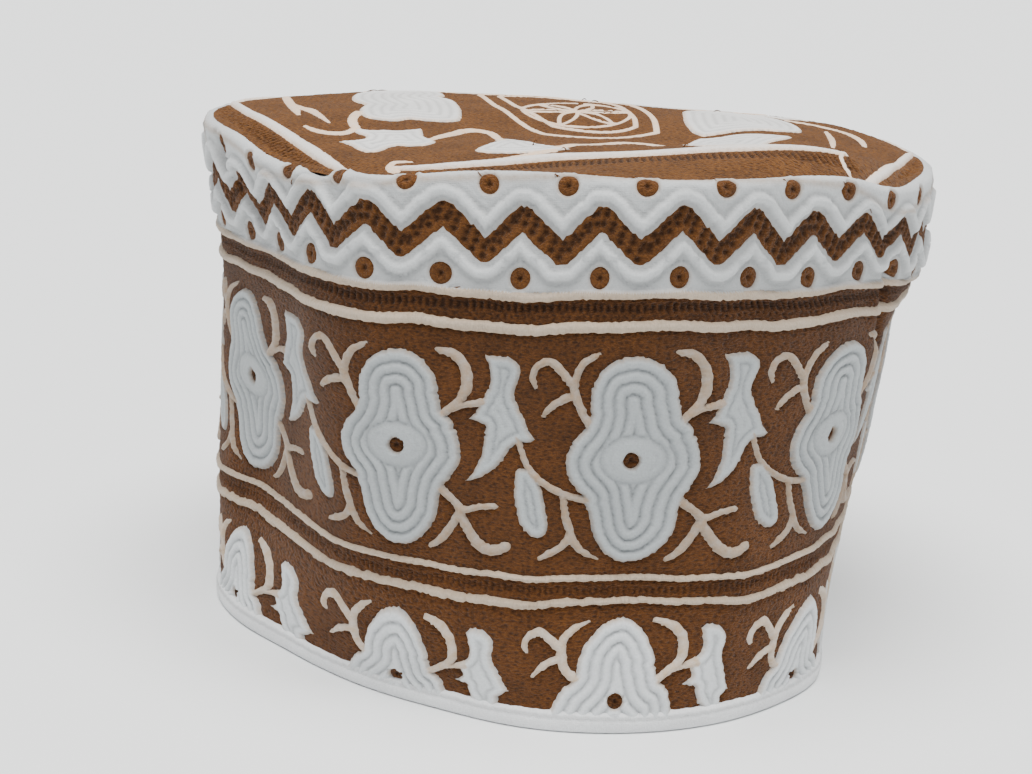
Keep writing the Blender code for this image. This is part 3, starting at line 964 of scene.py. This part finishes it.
LEFT_FLOWER = outline(
    [(-49, -10), (-49.5, -20), (-48.5, -28), (-46.5, -31.8), (-43, -32.8), (-40, -32), (-38, -29.5)],
    [(-37, -28.8), (-33, -28.5), (-29, -27), (-26.2, -24.5), (-25.5, -20), (-26, -10), (-27, 0), (-28.5, 8),
     (-31, 12)],
    [(-32.5, 13.2), (-31, 18), (-33, 25), (-38, 29), (-45, 29.5), (-51, 26), (-54, 20), (-54, 11), (-52, 3),
     (-50, -4)],
)
LEFT_LEAF = outline(
    [(-51.5, -53), (-48, -52), (-46, -50)],
    [(-46, -47.5), (-48.5, -45)],
    [(-48.5, -42), (-45, -43), (-42, -42.5), (-39, -42), (-37, -40)],
    [(-34, -37), (-33.5, -41), (-33, -46), (-31.5, -49)],
    [(-30, -52), (-31, -55), (-34, -57)],
    [(-38, -56.2), (-40, -58), (-41.5, -62), (-44, -64), (-46.5, -61), (-48.5, -57)],
)
MIDDLE_LEAF = outline(
    [(-17, -42), (-13.5, -40), (-10.5, -44), (-8.5, -52), (-7.5, -59), (-4, -63)],
    [(0, -66), (-6, -68.5), (-12, -69.5), (-17, -68.5), (-20.5, -66)],
    [(-20.5, -62), (-18, -57), (-16.3, -51), (-16.2, -46)],
)
RIGHT_FLOWER = outline(
    [(29, 12), (28.4, 0), (28, -12), (29, -22)],
    [(31.5, -26.5), (36, -24), (41, -20), (46, -17), (52, -15)],
    [(56, -12), (57, -4), (56.5, 6), (54, 14)],
    [(49, 19), (40, 21), (33, 18)],
)
RIGHT_LEAF = outline(
    [(30, -29), (35, -27.5), (41, -24), (48, -22)],
    [(53, -22), (50, -28), (47, -34), (44.5, -41), (45, -49), (48, -57)],
    [(50, -62), (44, -66), (36, -66.5), (28, -64), (24.5, -56), (24.5, -46), (26, -37)],
)
CROWN_VINES = (
    stroke([(-49.5, -26), (-50.2, -34), (-48.5, -42)], (3.0, 2.4, 2.4)),
    stroke([(-60.5, -40), (-57.5, -44), (-54, -46), (-51, -45.6), (-49, -42)], (1.0, 2.2, 2.6, 2.4, 2.0)),
    stroke([(-72, 24), (-69.5, 8), (-67, -6), (-65, -17), (-63.3, -27)], (2.4, 2.6, 2.6, 2.2, 0.9)),
    stroke([(-68.3, 2), (-65, -9), (-61.5, -19), (-58.5, -28), (-55.3, -36.5)], (1.5, 2.0, 2.4, 2.0, 0.8)),
    stroke([(-62.5, -15), (-60.5, -20), (-59, -25)], (1.8, 1.6, 0.8)),
    stroke([(-31.5, -50), (-29.5, -44), (-26.5, -37.5), (-24, -33), (-21, -31.5), (-18, -33), (-16.5, -38),
            (-15, -43)], (1.4, 2.2, 2.6, 2.8, 2.8, 2.6, 2.2, 2.2)),
    stroke([(-3, -65), (2, -57), (7, -47), (12, -39.5), (18, -38.5), (24, -42), (28, -46)],
           (2.6, 2.4, 2.4, 2.2, 2.0, 2.0, 2.0)),
    stroke([(-16.5, -74), (-12.5, -73), (-9, -71), (-4, -68)], (0.9, 1.8, 2.0, 2.4)),
    stroke([(-34, -75), (-37.5, -74.5), (-38.5, -78), (-37, -82)], (0.9, 1.6, 2.0, 2.4)),
    stroke([(61.6, -29), (62.6, -21), (63.5, -11), (64, 2)], (0.8, 1.6, 2.0, 1.2)),
    stroke([(71, -16), (71.5, -4), (70, 8), (64, 16), (56, 17)], (1.2, 2.4, 2.4, 2.2, 2.4)),
)

# The back of the crown repeats the band's flowers, bent round the middle
BACK_BEARINGS = (148, 212)
BACK_RADIUS = 46.0
BACK_INNER = 41.5
BACK_SCALE = 0.72


def bent(shape, bearing):
    """A motif of the band laid on the crown, with its top outwards."""
    turn = math.radians(bearing) - shape[:, 0] / BACK_RADIUS
    radius = BACK_INNER + (shape[:, 1] - 37) * BACK_SCALE
    return pairs(radius * np.sin(turn) * 0.97, -radius * np.cos(turn) * 1.08 - 2)


def rosette():
    """Six petals that meet in the middle, and a round line outside them."""
    def arc(x, y, turns):
        return [(x + ROSETTE_RADIUS * math.cos(a), y + ROSETTE_STRETCH * ROSETTE_RADIUS * math.sin(a))
                for a in turns]
    lines = []
    for heading in np.radians(np.arange(6) * 60 + 12):
        tip = arc(*ROSETTE_CENTRE, [heading])[0]
        lines.append(arc(*tip, heading + math.pi + np.radians((-58, -30, 0, 30, 58))))
    lines.append(arc(*ROSETTE_CENTRE, np.linspace(0, TURN, 25)))
    return [stroke(line, 1.1, 0.8) for line in lines]


CROWN_FLOWERS = [ruffle(s, 0.07, 60) for s in (LEFT_FLOWER, RIGHT_FLOWER)]
CROWN_FLOWERS += [ruffle(bent(FLOWER, b), 0.07, 61) for b in BACK_BEARINGS]
CROWN_LEAVES = [ruffle(s, 0.07, 62) for s in (LEFT_LEAF, MIDDLE_LEAF, RIGHT_LEAF)]
CROWN_LEAVES += [ruffle(bent(s, b), 0.07, 63) for b in BACK_BEARINGS for s in (BIRD_LEAF, DROP_LEAF)]
CROWN_STEMS = [ruffle(s, 0.05, 64) for s in CROWN_VINES]
CROWN_STEMS += [ruffle(bent(s, b), 0.05, 65) for b in BACK_BEARINGS for s in VINES]
CROWN_STEMS += [stroke(line, width) for line, width in MEDALLION_LINES]
CROWN_STEMS += rosette()
CROWN_BORDER = [ruffle(stroke(line, widths), 0.06, 70) for line, widths in BORDER_LINES]
CORNER_HOOK = stroke([(59.3, -61.5), (58.4, -66), (59.8, -70.4), (61.8, -72.6)], (1.0, 0.9, 0.9, 0.8))
CROWN_BORDER.append(CORNER_HOOK)
CROWN_HOLES = [bent(FLOWER_HOLE, b) for b in BACK_BEARINGS]


def crown_table():
    """Heights of the crown's cloth on a plan grid of one millimetre."""
    tree = cad_tree("crown")
    x, y = np.meshgrid(GRID, GRID, indexing="ij")
    z = np.full(x.shape, np.nan)
    for i, j in np.ndindex(x.shape):
        hit = tree.ray_cast(Vector((x[i, j], y[i, j], 200)), Vector((0, 0, -1)))[0]
        if hit is not None:
            z[i, j] = hit.z
    off = np.isnan(z)
    seam = SEAM[::4]
    z[off] = seam[nearest(pairs(x[off], y[off]), seam[:, :2]), 2]
    waves = np.fft.fftfreq(len(GRID))
    soft = np.exp(-2 * (math.pi * 1.6 * np.hypot(*np.meshgrid(waves, waves))) ** 2)
    z = np.fft.ifft2(np.fft.fft2(z) * soft).real
    for px, py, rise, reach_x, reach_y in CROWN_SWELLS:
        z += rise * bell(x, reach_x, px) * bell(y, reach_y, py)
    spots = pairs(x.ravel(), y.ravel())
    loop = SEAM[:-1:2]
    gap = away(spots, loop[:, :2])
    gap[~inside(spots, loop[:, :2])] = 0
    rim = np.flatnonzero(gap < SEAM_BLEND)
    level = z.ravel()
    share = soft_step(gap[rim], 0, SEAM_BLEND)
    level[rim] = loop[nearest(spots[rim], loop[:, :2]), 2] * (1 - share) + level[rim] * share
    return level.reshape(x.shape)


def at_grid(table, x, y):
    """Heights of the crown's table at places in plan."""
    return bilinear(table, *(np.clip(place - GRID[0], 0, len(GRID) - 1.001) for place in (x, y)))


def border_eyelets(points, whole=False):
    """Depth from 0 to 1 of the barred eyelets outside the border's ridges, or where their stripes are."""
    depth = np.zeros(len(points))
    for line, _ in BORDER_LINES:
        run = smooth_run(line, 0.8)
        k = np.flatnonzero(near(points, run, 9))
        step = nearest(points[k], run)
        heading = unit(np.gradient(run, axis=0)[step])
        offset = points[k] - run[step]
        t = along_path(run)[step] + (offset * heading).sum(axis=1)
        n = offset[:, 0] * heading[:, 1] - offset[:, 1] * heading[:, 0] - 1.9
        bar = np.abs((t / BAR_SPACING) % 1 - 0.5) * BAR_SPACING
        hole = np.exp(-(bar / 0.45) ** 2 - ((n - 2.6) / 2.4) ** 4)
        here = (n > 0.1) & (n < 6) & (step > 1) & (step < len(run) - 2)
        depth[k] = np.maximum(depth[k], here if whole else hole * here)
    return depth > 0.5 if whole else depth


def crown_relief(points):
    """Relief of the crown's sewn shapes."""
    relief = sewn_relief(points, (
        (CROWN_FLOWERS, quilted(0.2, 0.34, ROLL)), (CROWN_LEAVES, quilted(0.2, 0.2, LEAF_ROLL)),
        (CROWN_STEMS, corded(0.8, 0.42, 1.0)), (CROWN_BORDER, corded(1.4, 0.95, 0.25, 0.6, 0.35))))
    for hole in CROWN_HOLES:
        k = held(points, hole)
        relief[0][k] = 0.0
        relief[4][k] = False
    return relief


def crown_mesh(edge_loop):
    """Flat points and triangles of the crown, finest in its barred stripes and its sewn shapes."""
    sewn = CROWN_FLOWERS + CROWN_LEAVES + CROWN_STEMS + CROWN_BORDER + CROWN_HOLES
    low, high = edge_loop.min(axis=0), edge_loop.max(axis=0)
    fine, coarse, bars = [hexagons(low, high, step, seed=seed)
                          for step, seed in ((CROWN_STEP, 11), (CROWN_GROUND_STEP, 12), (BAR_STEP, 14))]
    fine, coarse, bars = [part[inside(part, edge_loop)] for part in (fine, coarse, bars)]
    _, edge, _, _, white = crown_relief(fine)
    fine = fine[(white | (edge < 0.3)) & ~border_eyelets(fine, True)]
    _, edge, _, _, white = crown_relief(coarse)
    coarse = coarse[~(white | (edge < 0.5) | border_eyelets(coarse, True))]
    bars = bars[border_eyelets(bars, True)]
    points = thinned(np.vstack([fine, coarse, bars]), sewn + [edge_loop], 0.25)
    flat, faces = triangulate(points, sewn, edge_loop)
    return flat, faces[inside(flat[faces].mean(axis=1), edge_loop)]


def crown_pieces(materials):
    """The crown's cloth as two pieces, the raised white ornament and its ground."""
    table = crown_table()
    edge_loop = SEAM[:-1:2, :2]
    middle = edge_loop.mean(axis=0)
    radii = np.linalg.norm(edge_loop - middle, axis=1)[:, None]
    edge_loop = middle + (edge_loop - middle) * (1 - CROWN_INSET / radii)
    flat, faces = crown_mesh(edge_loop)
    x, y = flat.T
    lift, edge, valley_shade, tint, white = crown_relief(flat)
    rim_gap = away(flat, edge_loop)
    hollow = border_eyelets(flat) * soft_step(rim_gap, 1.4, 3.2)
    height = np.where(white, lift, 0.22 * soft_step(edge, 0, 0.6) - 0.8 * hollow * soft_step(edge, 0, 0.3))
    is_white = crown_relief(flat[faces].mean(axis=1))[4]
    on_white, border = colour_border(faces, is_white, len(flat))
    height[border] = BORDER_LIFT
    tint = np.maximum(tint, 0.9 * border)
    sunk = 1 - soft_step(rim_gap, 0, 1.6)

    def slope(dx, dy):
        return (at_grid(table, x + dx, y + dy) - at_grid(table, x - dx, y - dy)) / (2 * (dx + dy))

    out = unit(np.stack([-slope(0.5, 0), -slope(0, 0.5), np.ones(len(flat))], axis=1))
    ripple = 0.14 * np.sin(x / 7 + np.sin(y / 9)) * np.sin(y / 8)
    rough = np.random.default_rng(13).normal(0, 1, len(flat)) * np.where(on_white, 0.018, 0.05)
    rise = height * (1 - sunk) + rough + ripple
    placed = np.column_stack([flat, at_grid(table, x, y) - 0.45 * sunk]) + out * rise[:, None]
    # On the brown piece the red mark is the eyelets' depth, which its material turns into painted shade; on
    # the white piece it is the cream tint.
    for name, pick, slot, material, red in (
        ("crown_embroidery", ~is_white, "brown_embroidery", "crown_embroidery", hollow),
        ("crown_quilting", is_white, "white_cotton", "crown_cotton", tint),
    ):
        marks = np.stack([red, valley_shade, np.clip(edge, 0, 2) / 2], axis=1)
        chosen = faces[pick]
        obj = new_mesh(name, placed, chosen, flat[chosen].reshape(-1, 2), marks, materials[material])
        dress(obj, slot, "crown")
    return table


# Rim tape and lining

# Section of the folded tape: outward of the wall's face and up from the floor
TAPE_SECTION = ((-0.9, 4.1), (-0.1, 4.55), (0.55, 4.45), (1.05, 4.0), (1.3, 3.2), (1.45, 2.2), (1.42, 1.2),
                (1.2, 0.45), (0.7, 0.05), (-0.6, 0.0), (-2.4, 0.0), (-3.1, 0.35), (-3.45, 1.2), (-3.5, 2.4),
                (-3.3, 3.5), (-2.7, 4.1), (-2.0, 4.2))

# Height on the wall at which the tape is sewn, and of its stitches on the tape
TAPE_RISE = 2.5
TAPE_STITCHES = 3.3


def swept(name, rows, closed, cloth, marks, material, flip=False):
    """A mesh over rows of points that run round the cap."""
    count, across = rows.shape[:2]
    i, j = np.meshgrid(np.arange(count), np.arange(across if closed else across - 1), indexing="ij")
    a, b, c, d = [((i + di) % count) * across + (j + dj) % across
                  for di, dj in ((0, 0), (1, 0), (1, 1), (0, 1))]
    corners = [a, c, b, a, d, c] if flip else [a, b, c, a, c, d]
    tri = np.stack(corners, axis=-1).reshape(-1, 3)
    corner_cloth = cloth.reshape(-1, 2)[tri].reshape(-1, 2)
    return new_mesh(name, rows.reshape(-1, 3), tri, corner_cloth, marks, material)


def rim_tape(materials):
    """The folded tape round the rim, puckered by its stitches."""
    s = np.arange(-GIRTH / 2, GIRTH / 2 - 0.1, 0.75)
    section = smooth_run(TAPE_SECTION + TAPE_SECTION[:1], 0.5)[:-1]
    place = np.repeat(s, len(section))
    out, up = np.tile(section, (len(s), 1)).T
    level = np.zeros(len(place))
    pucker = 0.10 * np.sin(place * TURN / 2.9) + sway(place, level, 17, 0.14)
    stitch = 0.5 + 0.5 * np.cos(place * TURN / 2.2)
    dent = 0.22 * bell(up, 0.5, TAPE_STITCHES) * (out > 0.4) * stitch
    top = soft_step(up, 1.0, 4.2)
    base = on_wall(place, level + TAPE_RISE, level, 0.0)
    n = (base - on_wall(place, level + TAPE_RISE, level - 1, 0.0)) * (1, 1, 0)
    points = base + unit(n) * (out + np.where(out > 0, pucker * top - dent, 0))[:, None]
    waves = sway(place, level, 19, 0.16) + 0.06 * np.sin(place * TURN / 3.7)
    points[:, 2] = np.maximum(up + top * waves, 0)
    around = np.cumsum(np.linalg.norm(np.diff(section, axis=0, append=section[:1]), axis=1))
    cloth = pairs(place, np.tile(around, len(s)))
    marks = np.zeros((len(place), 3))
    marks[:, 1] = 0.9 * bell(up, 0.45, TAPE_STITCHES) * (out > 0.4)
    rows = points.reshape(len(s), len(section), 3)
    dress(swept("rim_tape", rows, True, cloth, marks, materials["tape"]), "white_cotton", "rim_binding")


def lining(materials, table):
    """The inside of the band and the crown, as one sewn surface."""
    s = np.arange(-GIRTH / 2, GIRTH / 2 - 0.1, 1.7)
    top_rise = np.interp(s, POSITIONS, SEAM_RISE) - 4.0
    rows = [on_wall(s, 1.5 + t * (top_rise - 1.5), np.full(len(s), -CLOTH_THICKNESS - 0.3))
            for t in np.linspace(0, 1, 60)]
    top = rows[-1]
    middle = top.mean(axis=0)
    for t in np.linspace(0, 1, 26)[1:]:
        plan = top[:, :2] + (middle[:2] - top[:, :2]) * t * 0.995
        under = at_grid(table, *plan.T) - CLOTH_THICKNESS
        rows.append(np.column_stack([plan, top[:, 2] + (under - top[:, 2]) * soft_step(t, 0, 0.12)]))
    grid = np.stack(rows, axis=1)
    cloth = np.stack(np.meshgrid(s, np.arange(len(rows)) * 2.0, indexing="ij"), axis=-1)
    marks = np.zeros((grid.size // 3, 3))
    obj = swept("lining", grid, False, cloth, marks, materials["lining"], flip=True)
    dress(obj, "white_cotton", "side_band", "crown")


# Stray threads

# Loose threads on the wall and the crown: where each starts, its run along the cloth, its height off it
WALL_THREADS = ((-35.2, 117.9, -0.9, 0.7, 0.5), (-18.4, 117.9, -0.9, 0.9, 0.5),
                (-18.2, 118.2, -1.2, 0.2, 0.6), (-1.5, 117.9, -1.1, 0.5, 0.5),
                (-1.2, 118.3, -0.5, 0.8, 0.6), (15.6, 117.9, -1.0, 0.6, 0.6),
                (32.7, 117.9, -0.9, 0.4, 0.4), (49.6, 117.5, -0.7, 0.8, 0.5), (57, 115, 3.4, -2.6, 0.4),
                (-83, 113, 1.1, 1.2, 0.6), (11.5, 64, 1.2, 0.4, 0.4), (-40, 94.6, 1.6, 0.3, 0.4))
CROWN_THREADS = ((-8.5, -62, 1.0, 0.7, 1.4), (-33, 20, 2.2, 1.4, 0.6), (4, 36, 1.4, 2, 0.8),
                 (9, 40, -2, 1.4, 0.6), (38, 30, 2.2, 1, 0.7), (-52, 28, 3, 1.5, 0.6),
                 (-46, 32, -3.4, 1, 0.5), (60, -45, 1.4, 1.4, 0.7),
                 (-1, -69, -1.2, 0.9, 0.9), (24, -66, 1.2, 0.6, 0.8))
THREAD_RADIUS = 0.17


def stray_threads(materials, table):
    """Short loose ends of brown thread, as square tubes with closed ends."""
    t = np.linspace(0, 1, 7)
    paths = [on_wall(s + along * t, v + up * t**1.5, 0.1 + off * np.sin(t * 2.2))
             for s, v, along, up, off in WALL_THREADS]
    for x, y, dx, dy, off in CROWN_THREADS:
        px, py = x + dx * t, y + dy * t**1.4
        paths.append(np.stack([px, py, at_grid(table, px, py) + 0.1 + off * np.sin(t * 2.4)], axis=1))
    radius = THREAD_RADIUS * (1 - 0.5 * t)[:, None]
    points, faces = [], []
    for path in paths:
        heading = unit(np.gradient(path, axis=0))
        side = unit(np.cross(heading, (0.3, 0.2, 0.93)))
        other = np.cross(heading, side)
        base = len(points) * 4 * len(t)
        points.append(np.stack([path + (side * math.cos(a) + other * math.sin(a)) * radius
                                for a in np.arange(4) * TURN / 4], axis=1).reshape(-1, 3))
        for k in range(len(t) - 1):
            for j in range(4):
                a, b = base + 4 * k + j, base + 4 * k + (j + 1) % 4
                faces += [(a, b, b + 4), (a, b + 4, a + 4)]
        last = base + 4 * (len(t) - 1)
        faces += [(base, base + 2, base + 1), (base, base + 3, base + 2)]
        faces += [(last, last + 1, last + 2), (last, last + 2, last + 3)]
    points, faces = np.vstack(points), np.array(faces)
    obj = new_mesh("stray_threads", points, faces, np.zeros((faces.size, 2)), np.zeros((len(points), 3)),
                   materials["embroidery"])
    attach(obj, "root")


# Materials

# The flower band's white and the zigzag field's white are the hem's cotton set darker: painted shade. PEACH,
# the flower band's warm edge tint, is darkened with them.
SHADED_FLOWER_WHITE = (0.383, 0.408, 0.418)
SHADED_FIELD_WHITE = (0.55, 0.565, 0.57)
HEM_WHITE = (0.66, 0.685, 0.70)
HEM_PEACH = (0.52, 0.385, 0.265)
CROWN_WHITE = (0.74, 0.735, 0.72)
CROWN_PEACH = (0.82, 0.57, 0.38)
CORD_WHITE = (0.49, 0.415, 0.335)
CORD_PEACH = (0.44, 0.32, 0.215)
TAPE_WHITE = (0.77, 0.78, 0.79)
LINING_WHITE = (0.70, 0.69, 0.66)
PEACH = (0.34, 0.235, 0.15)
BROWN_LIGHT = (0.130, 0.047, 0.0095)
BROWN_DARK = (0.058, 0.0195, 0.0045)
# The crown's brown is the band's thread set lighter: painted light from above.
CROWN_BROWN_LIGHT = (0.178, 0.072, 0.0142)
CROWN_BROWN_DARK = (0.088, 0.031, 0.0068)
EYELET_LIGHT = (0.155, 0.058, 0.012)
EYELET_DARK = (0.085, 0.03, 0.007)
FLOOR_COLOUR = (0.84, 0.855, 0.86, 1)


def tree_of(name):
    material = bpy.data.materials.new(name)
    material.use_nodes = True
    return material, material.node_tree


def node(tree, kind, inputs, output=0, **settings):
    """Adds a node, sets or links its inputs by name or number, and gives one of its outputs."""
    made = tree.nodes.new(kind)
    for key, value in settings.items():
        setattr(made, key, value)
    for key, value in inputs.items():
        if isinstance(value, bpy.types.NodeSocket):
            tree.links.new(value, made.inputs[key])
        else:
            made.inputs[key].default_value = value
    return made.outputs[output]


def marks_of(tree, channel):
    """One channel of the mesh's marks: Red for the cream tint on white or the eyelets' painted shade on
    brown, Green for painted shade and stitches in quilting valleys.
    """
    marks = node(tree, "ShaderNodeAttribute", {}, "Color", attribute_name="marks")
    return node(tree, "ShaderNodeSeparateColor", {0: marks}, channel)


def cloth_points(tree, scale_s=1.0, scale_v=1.0):
    """Cloth coordinates, scaled to a number of cells each millimetre."""
    cloth = node(tree, "ShaderNodeUVMap", {}, uv_map="cloth")
    return node(tree, "ShaderNodeMapping", {"Vector": cloth, "Scale": (100 * scale_s, 100 * scale_v, 1)})


def blend_colours(tree, factor, first, second):
    """Blends two colours, each a tuple or another node's output."""
    first, second = [(*c, 1) if isinstance(c, tuple) else c for c in (first, second)]
    return node(tree, "ShaderNodeMix", {0: factor, 6: first, 7: second}, 2, data_type="RGBA")


def arithmetic(tree, operation, first, second):
    return node(tree, "ShaderNodeMath", {0: first, 1: second}, operation=operation)


def remap(tree, value, low, high, to_low, to_high):
    return node(tree, "ShaderNodeMapRange", {0: value, 1: low, 2: high, 3: to_low, 4: to_high})


def scaled(tree, colour, factor):
    return node(tree, "ShaderNodeVectorMath", {0: colour, "Scale": factor}, operation="SCALE")


def bumped(tree, height, strength, distance, under=None):
    inputs = {"Strength": strength, "Distance": distance * MM, "Height": height}
    if under is not None:
        inputs["Normal"] = under
    return node(tree, "ShaderNodeBump", inputs)


def noise(tree, vector, scale, detail=2.0, roughness=0.5):
    inputs = {"Vector": vector, "Scale": scale, "Detail": detail, "Roughness": roughness}
    return node(tree, "ShaderNodeTexNoise", inputs, "Fac")


def cells(tree, vector, randomness):
    """Distance to the middle of the nearest of many small cells."""
    inputs = {"Vector": vector, "Scale": 1.0, "Randomness": randomness}
    return node(tree, "ShaderNodeTexVoronoi", inputs, "Distance", voronoi_dimensions="2D")


def finished(material, tree, colour, normal, roughness, sheen, gloss):
    """Gives the material's shader its colour, relief and surface."""
    shader = tree.nodes["Principled BSDF"]
    tree.links.new(colour, shader.inputs["Base Color"])
    tree.links.new(normal, shader.inputs["Normal"])
    for name, value in (("Roughness", roughness), ("Sheen Weight", sheen), ("Sheen Roughness", 0.5),
                        ("Specular IOR Level", gloss)):
        shader.inputs[name].default_value = value
    return material


def embroidery_material(name, stitch_size, light, dark, pinholes=0.8, painted_floor_light=0.0):
    """Dense brown thread: short level stitches with small pinholes between them, painted shade in the
    pinholes and eyelets, and painted light from the floor that makes it paler towards the rim.
    """
    material, tree = tree_of(name)
    flat = cloth_points(tree)
    stitches = noise(tree, cloth_points(tree, 1 / stitch_size[0], 1 / stitch_size[1]), 1.0, 2.0, 0.6)
    thread = remap(tree, stitches, 0.34, 0.68, 0.0, 1.0)
    hole = remap(tree, cells(tree, cloth_points(tree, 0.52, 0.85), 0.75), 0.10, 0.34, pinholes, 0.0)
    height = arithmetic(tree, "SUBTRACT", thread, arithmetic(tree, "MULTIPLY", hole, 1.2))
    # Painted shade in the holes: the pinholes and the eyelets are darkened towards this brown.
    hole_shade = tuple(c * 0.3 for c in dark)
    colour = blend_colours(tree, hole, blend_colours(tree, thread, dark, light), hole_shade)
    shade = remap(tree, noise(tree, flat, 0.11), 0.3, 0.7, 0.8, 1.15)
    # Painted light from the floor: lighter towards the rim, darker towards the top.
    if painted_floor_light:
        rise = node(tree, "ShaderNodeSeparateXYZ", {0: flat}, "Y")
        shade = arithmetic(tree, "MULTIPLY", shade, remap(tree, rise, 8, 92, 1 + painted_floor_light, 1 - painted_floor_light))
    # The eyelets' depth from the red mark darkens the thread: painted shade in the eyelets.
    hollow = remap(tree, marks_of(tree, "Red"), 0.1, 0.85, 0.0, 0.85)
    final = blend_colours(tree, hollow, scaled(tree, colour, shade), hole_shade)
    return finished(material, tree, final, bumped(tree, height, 1.0, 0.3), 0.8, 0.08, 0.15)


def cotton_material(name, colour, warm, warmth=1.0, satin=0.0):
    """White cotton cloth: fine weave, quilting stitches and painted shade in the valleys, a warm tint along
    its edges.
    """
    material, tree = tree_of(name)
    valley_shade = marks_of(tree, "Green")
    flat = cloth_points(tree)
    lumps = noise(tree, flat, 0.55, 3.0, 0.55)
    grain = noise(tree, cloth_points(tree, 1.9, 1.9), 1.0, 3.0, 0.6)
    dimple = remap(tree, cells(tree, cloth_points(tree, 1.15, 1.15), 0.55), 0.12, 0.42, 1.0, 0.0)
    sewn = arithmetic(tree, "MULTIPLY", dimple, remap(tree, valley_shade, 0.35, 0.8, 0.0, 1.0))
    tint = arithmetic(tree, "MULTIPLY", marks_of(tree, "Red"), remap(tree, lumps, 0.3, 0.7, 0.6, 1.0))
    base = blend_colours(tree, arithmetic(tree, "MULTIPLY", tint, warmth), colour, warm)
    shade = arithmetic(tree, "MULTIPLY", remap(tree, noise(tree, flat, 0.06), 0.35, 0.65, 0.94, 1.03),
                       remap(tree, grain, 0.3, 0.7, 0.9, 1.06))
    # Painted shade in the quilting valleys, joined with the darker stitch dots, darkens the cloth towards 0.6
    # of its colour.
    seam = arithmetic(tree, "MULTIPLY", remap(tree, valley_shade, 0.12, 0.9, 0.0, 1.0), 0.8)
    seam = arithmetic(tree, "MAXIMUM", seam, arithmetic(tree, "MULTIPLY", sewn, 0.3))
    final = blend_colours(tree, seam, scaled(tree, base, shade), tuple(c * 0.6 for c in colour))
    relief = bumped(tree, cells(tree, cloth_points(tree, 2.6, 2.6), 0.35), 0.6, 0.12)
    relief = bumped(tree, lumps, 0.6, 0.3, relief)
    relief = bumped(tree, grain, 0.5, 0.2, relief)
    if satin:
        relief = bumped(tree, cells(tree, cloth_points(tree, 2.0, 0.6), 0.6), satin, 0.3, relief)
    relief = bumped(tree, arithmetic(tree, "MULTIPLY", sewn, -1.0), 0.5, 0.12, relief)
    return finished(material, tree, final, relief, 0.85, 0.2, 0.25)


MATERIALS = {
    # The flower band's and the zigzag field's cotton are darker copies of the hem's: painted shade.
    "cotton": cotton_material("white_quilted_cotton", SHADED_FLOWER_WHITE, PEACH),
    "field_cotton": cotton_material("white_field_cotton", SHADED_FIELD_WHITE, PEACH),
    "hem_cotton": cotton_material("white_hem_cotton", HEM_WHITE, HEM_PEACH),
    "crown_cotton": cotton_material("white_crown_cotton", CROWN_WHITE, CROWN_PEACH),
    "cord_cotton": cotton_material("white_cord_cotton", CORD_WHITE, CORD_PEACH, satin=0.8),
    "tape": cotton_material("white_tape", TAPE_WHITE, PEACH, 0.2),
    "lining": cotton_material("white_lining", LINING_WHITE, PEACH, 0.0),
    # Its last number is painted light from the floor, which makes the band's brown paler towards the rim.
    "embroidery": embroidery_material("brown_thread_ground", (0.85, 0.34), BROWN_LIGHT, BROWN_DARK, 0.55,
                                      0.15),
    # The crown's brown is set lighter than the band's: painted light from above.
    "crown_embroidery": embroidery_material("brown_thread_crown", (0.7, 0.5), CROWN_BROWN_LIGHT,
                                            CROWN_BROWN_DARK, 0.5),
    "eyelets": embroidery_material("brown_thread_eyelets", (0.6, 0.45), EYELET_LIGHT, EYELET_DARK, 0.2),
}


# Floor, light and camera

KEY_PLACE = (0.0, -0.36, 2.2)
KEY_COLOUR = (1.0, 0.99, 0.97)
KEY_STRENGTH = 6.9
KEY_SPREAD = 0.9
SKY_COLOUR = (0.93, 0.96, 1.0, 1)
SKY_STRENGTH = 0.35
FLOOR_REACH = 6.0


def added(name, data):
    """A new object in the scene."""
    obj = bpy.data.objects.new(name, data)
    bpy.context.scene.collection.objects.link(obj)
    return obj


def studio_floor():
    mesh = bpy.data.meshes.new("floor")
    corners = [(x * FLOOR_REACH, y * FLOOR_REACH, 0) for x, y in ((-1, -1), (1, -1), (1, 1), (-1, 1))]
    mesh.from_pydata(corners, [], [(0, 1, 2, 3)])
    material, tree = tree_of("pale_floor")
    shader = tree.nodes["Principled BSDF"]
    shader.inputs["Base Color"].default_value = FLOOR_COLOUR
    shader.inputs["Roughness"].default_value = 0.9
    mesh.materials.append(material)
    floor = added("floor", mesh)


def light():
    world = bpy.data.worlds.new("studio")
    bpy.context.scene.world = world
    world.use_nodes = True
    sky = world.node_tree.nodes["Background"]
    sky.inputs["Color"].default_value = SKY_COLOUR
    sky.inputs["Strength"].default_value = SKY_STRENGTH
    data = bpy.data.lights.new("key_light", "SUN")
    data.energy = KEY_STRENGTH
    data.angle = KEY_SPREAD
    data.color = KEY_COLOUR
    added("key_light", data).rotation_euler = (-Vector(KEY_PLACE)).to_track_quat("-Z", "Y").to_euler()


def camera():
    data = bpy.data.cameras.new("camera")
    data.lens = CAMERA_LENS
    data.sensor_width = 36
    data.clip_start = 0.01
    eye = added("camera", data)
    tilt = Matrix.Rotation(math.radians(CAMERA_TILT), 4, "X")
    roll = Matrix.Rotation(math.radians(CAMERA_ROLL), 4, "Z")
    eye.matrix_world = Matrix.Translation(CAMERA_PLACE) @ tilt @ roll
    bpy.context.scene.camera = eye


camera()
studio_floor()
light()
band_pieces(MATERIALS)
heights = crown_pieces(MATERIALS)
rim_tape(MATERIALS)
lining(MATERIALS, heights)
stray_threads(MATERIALS, heights)
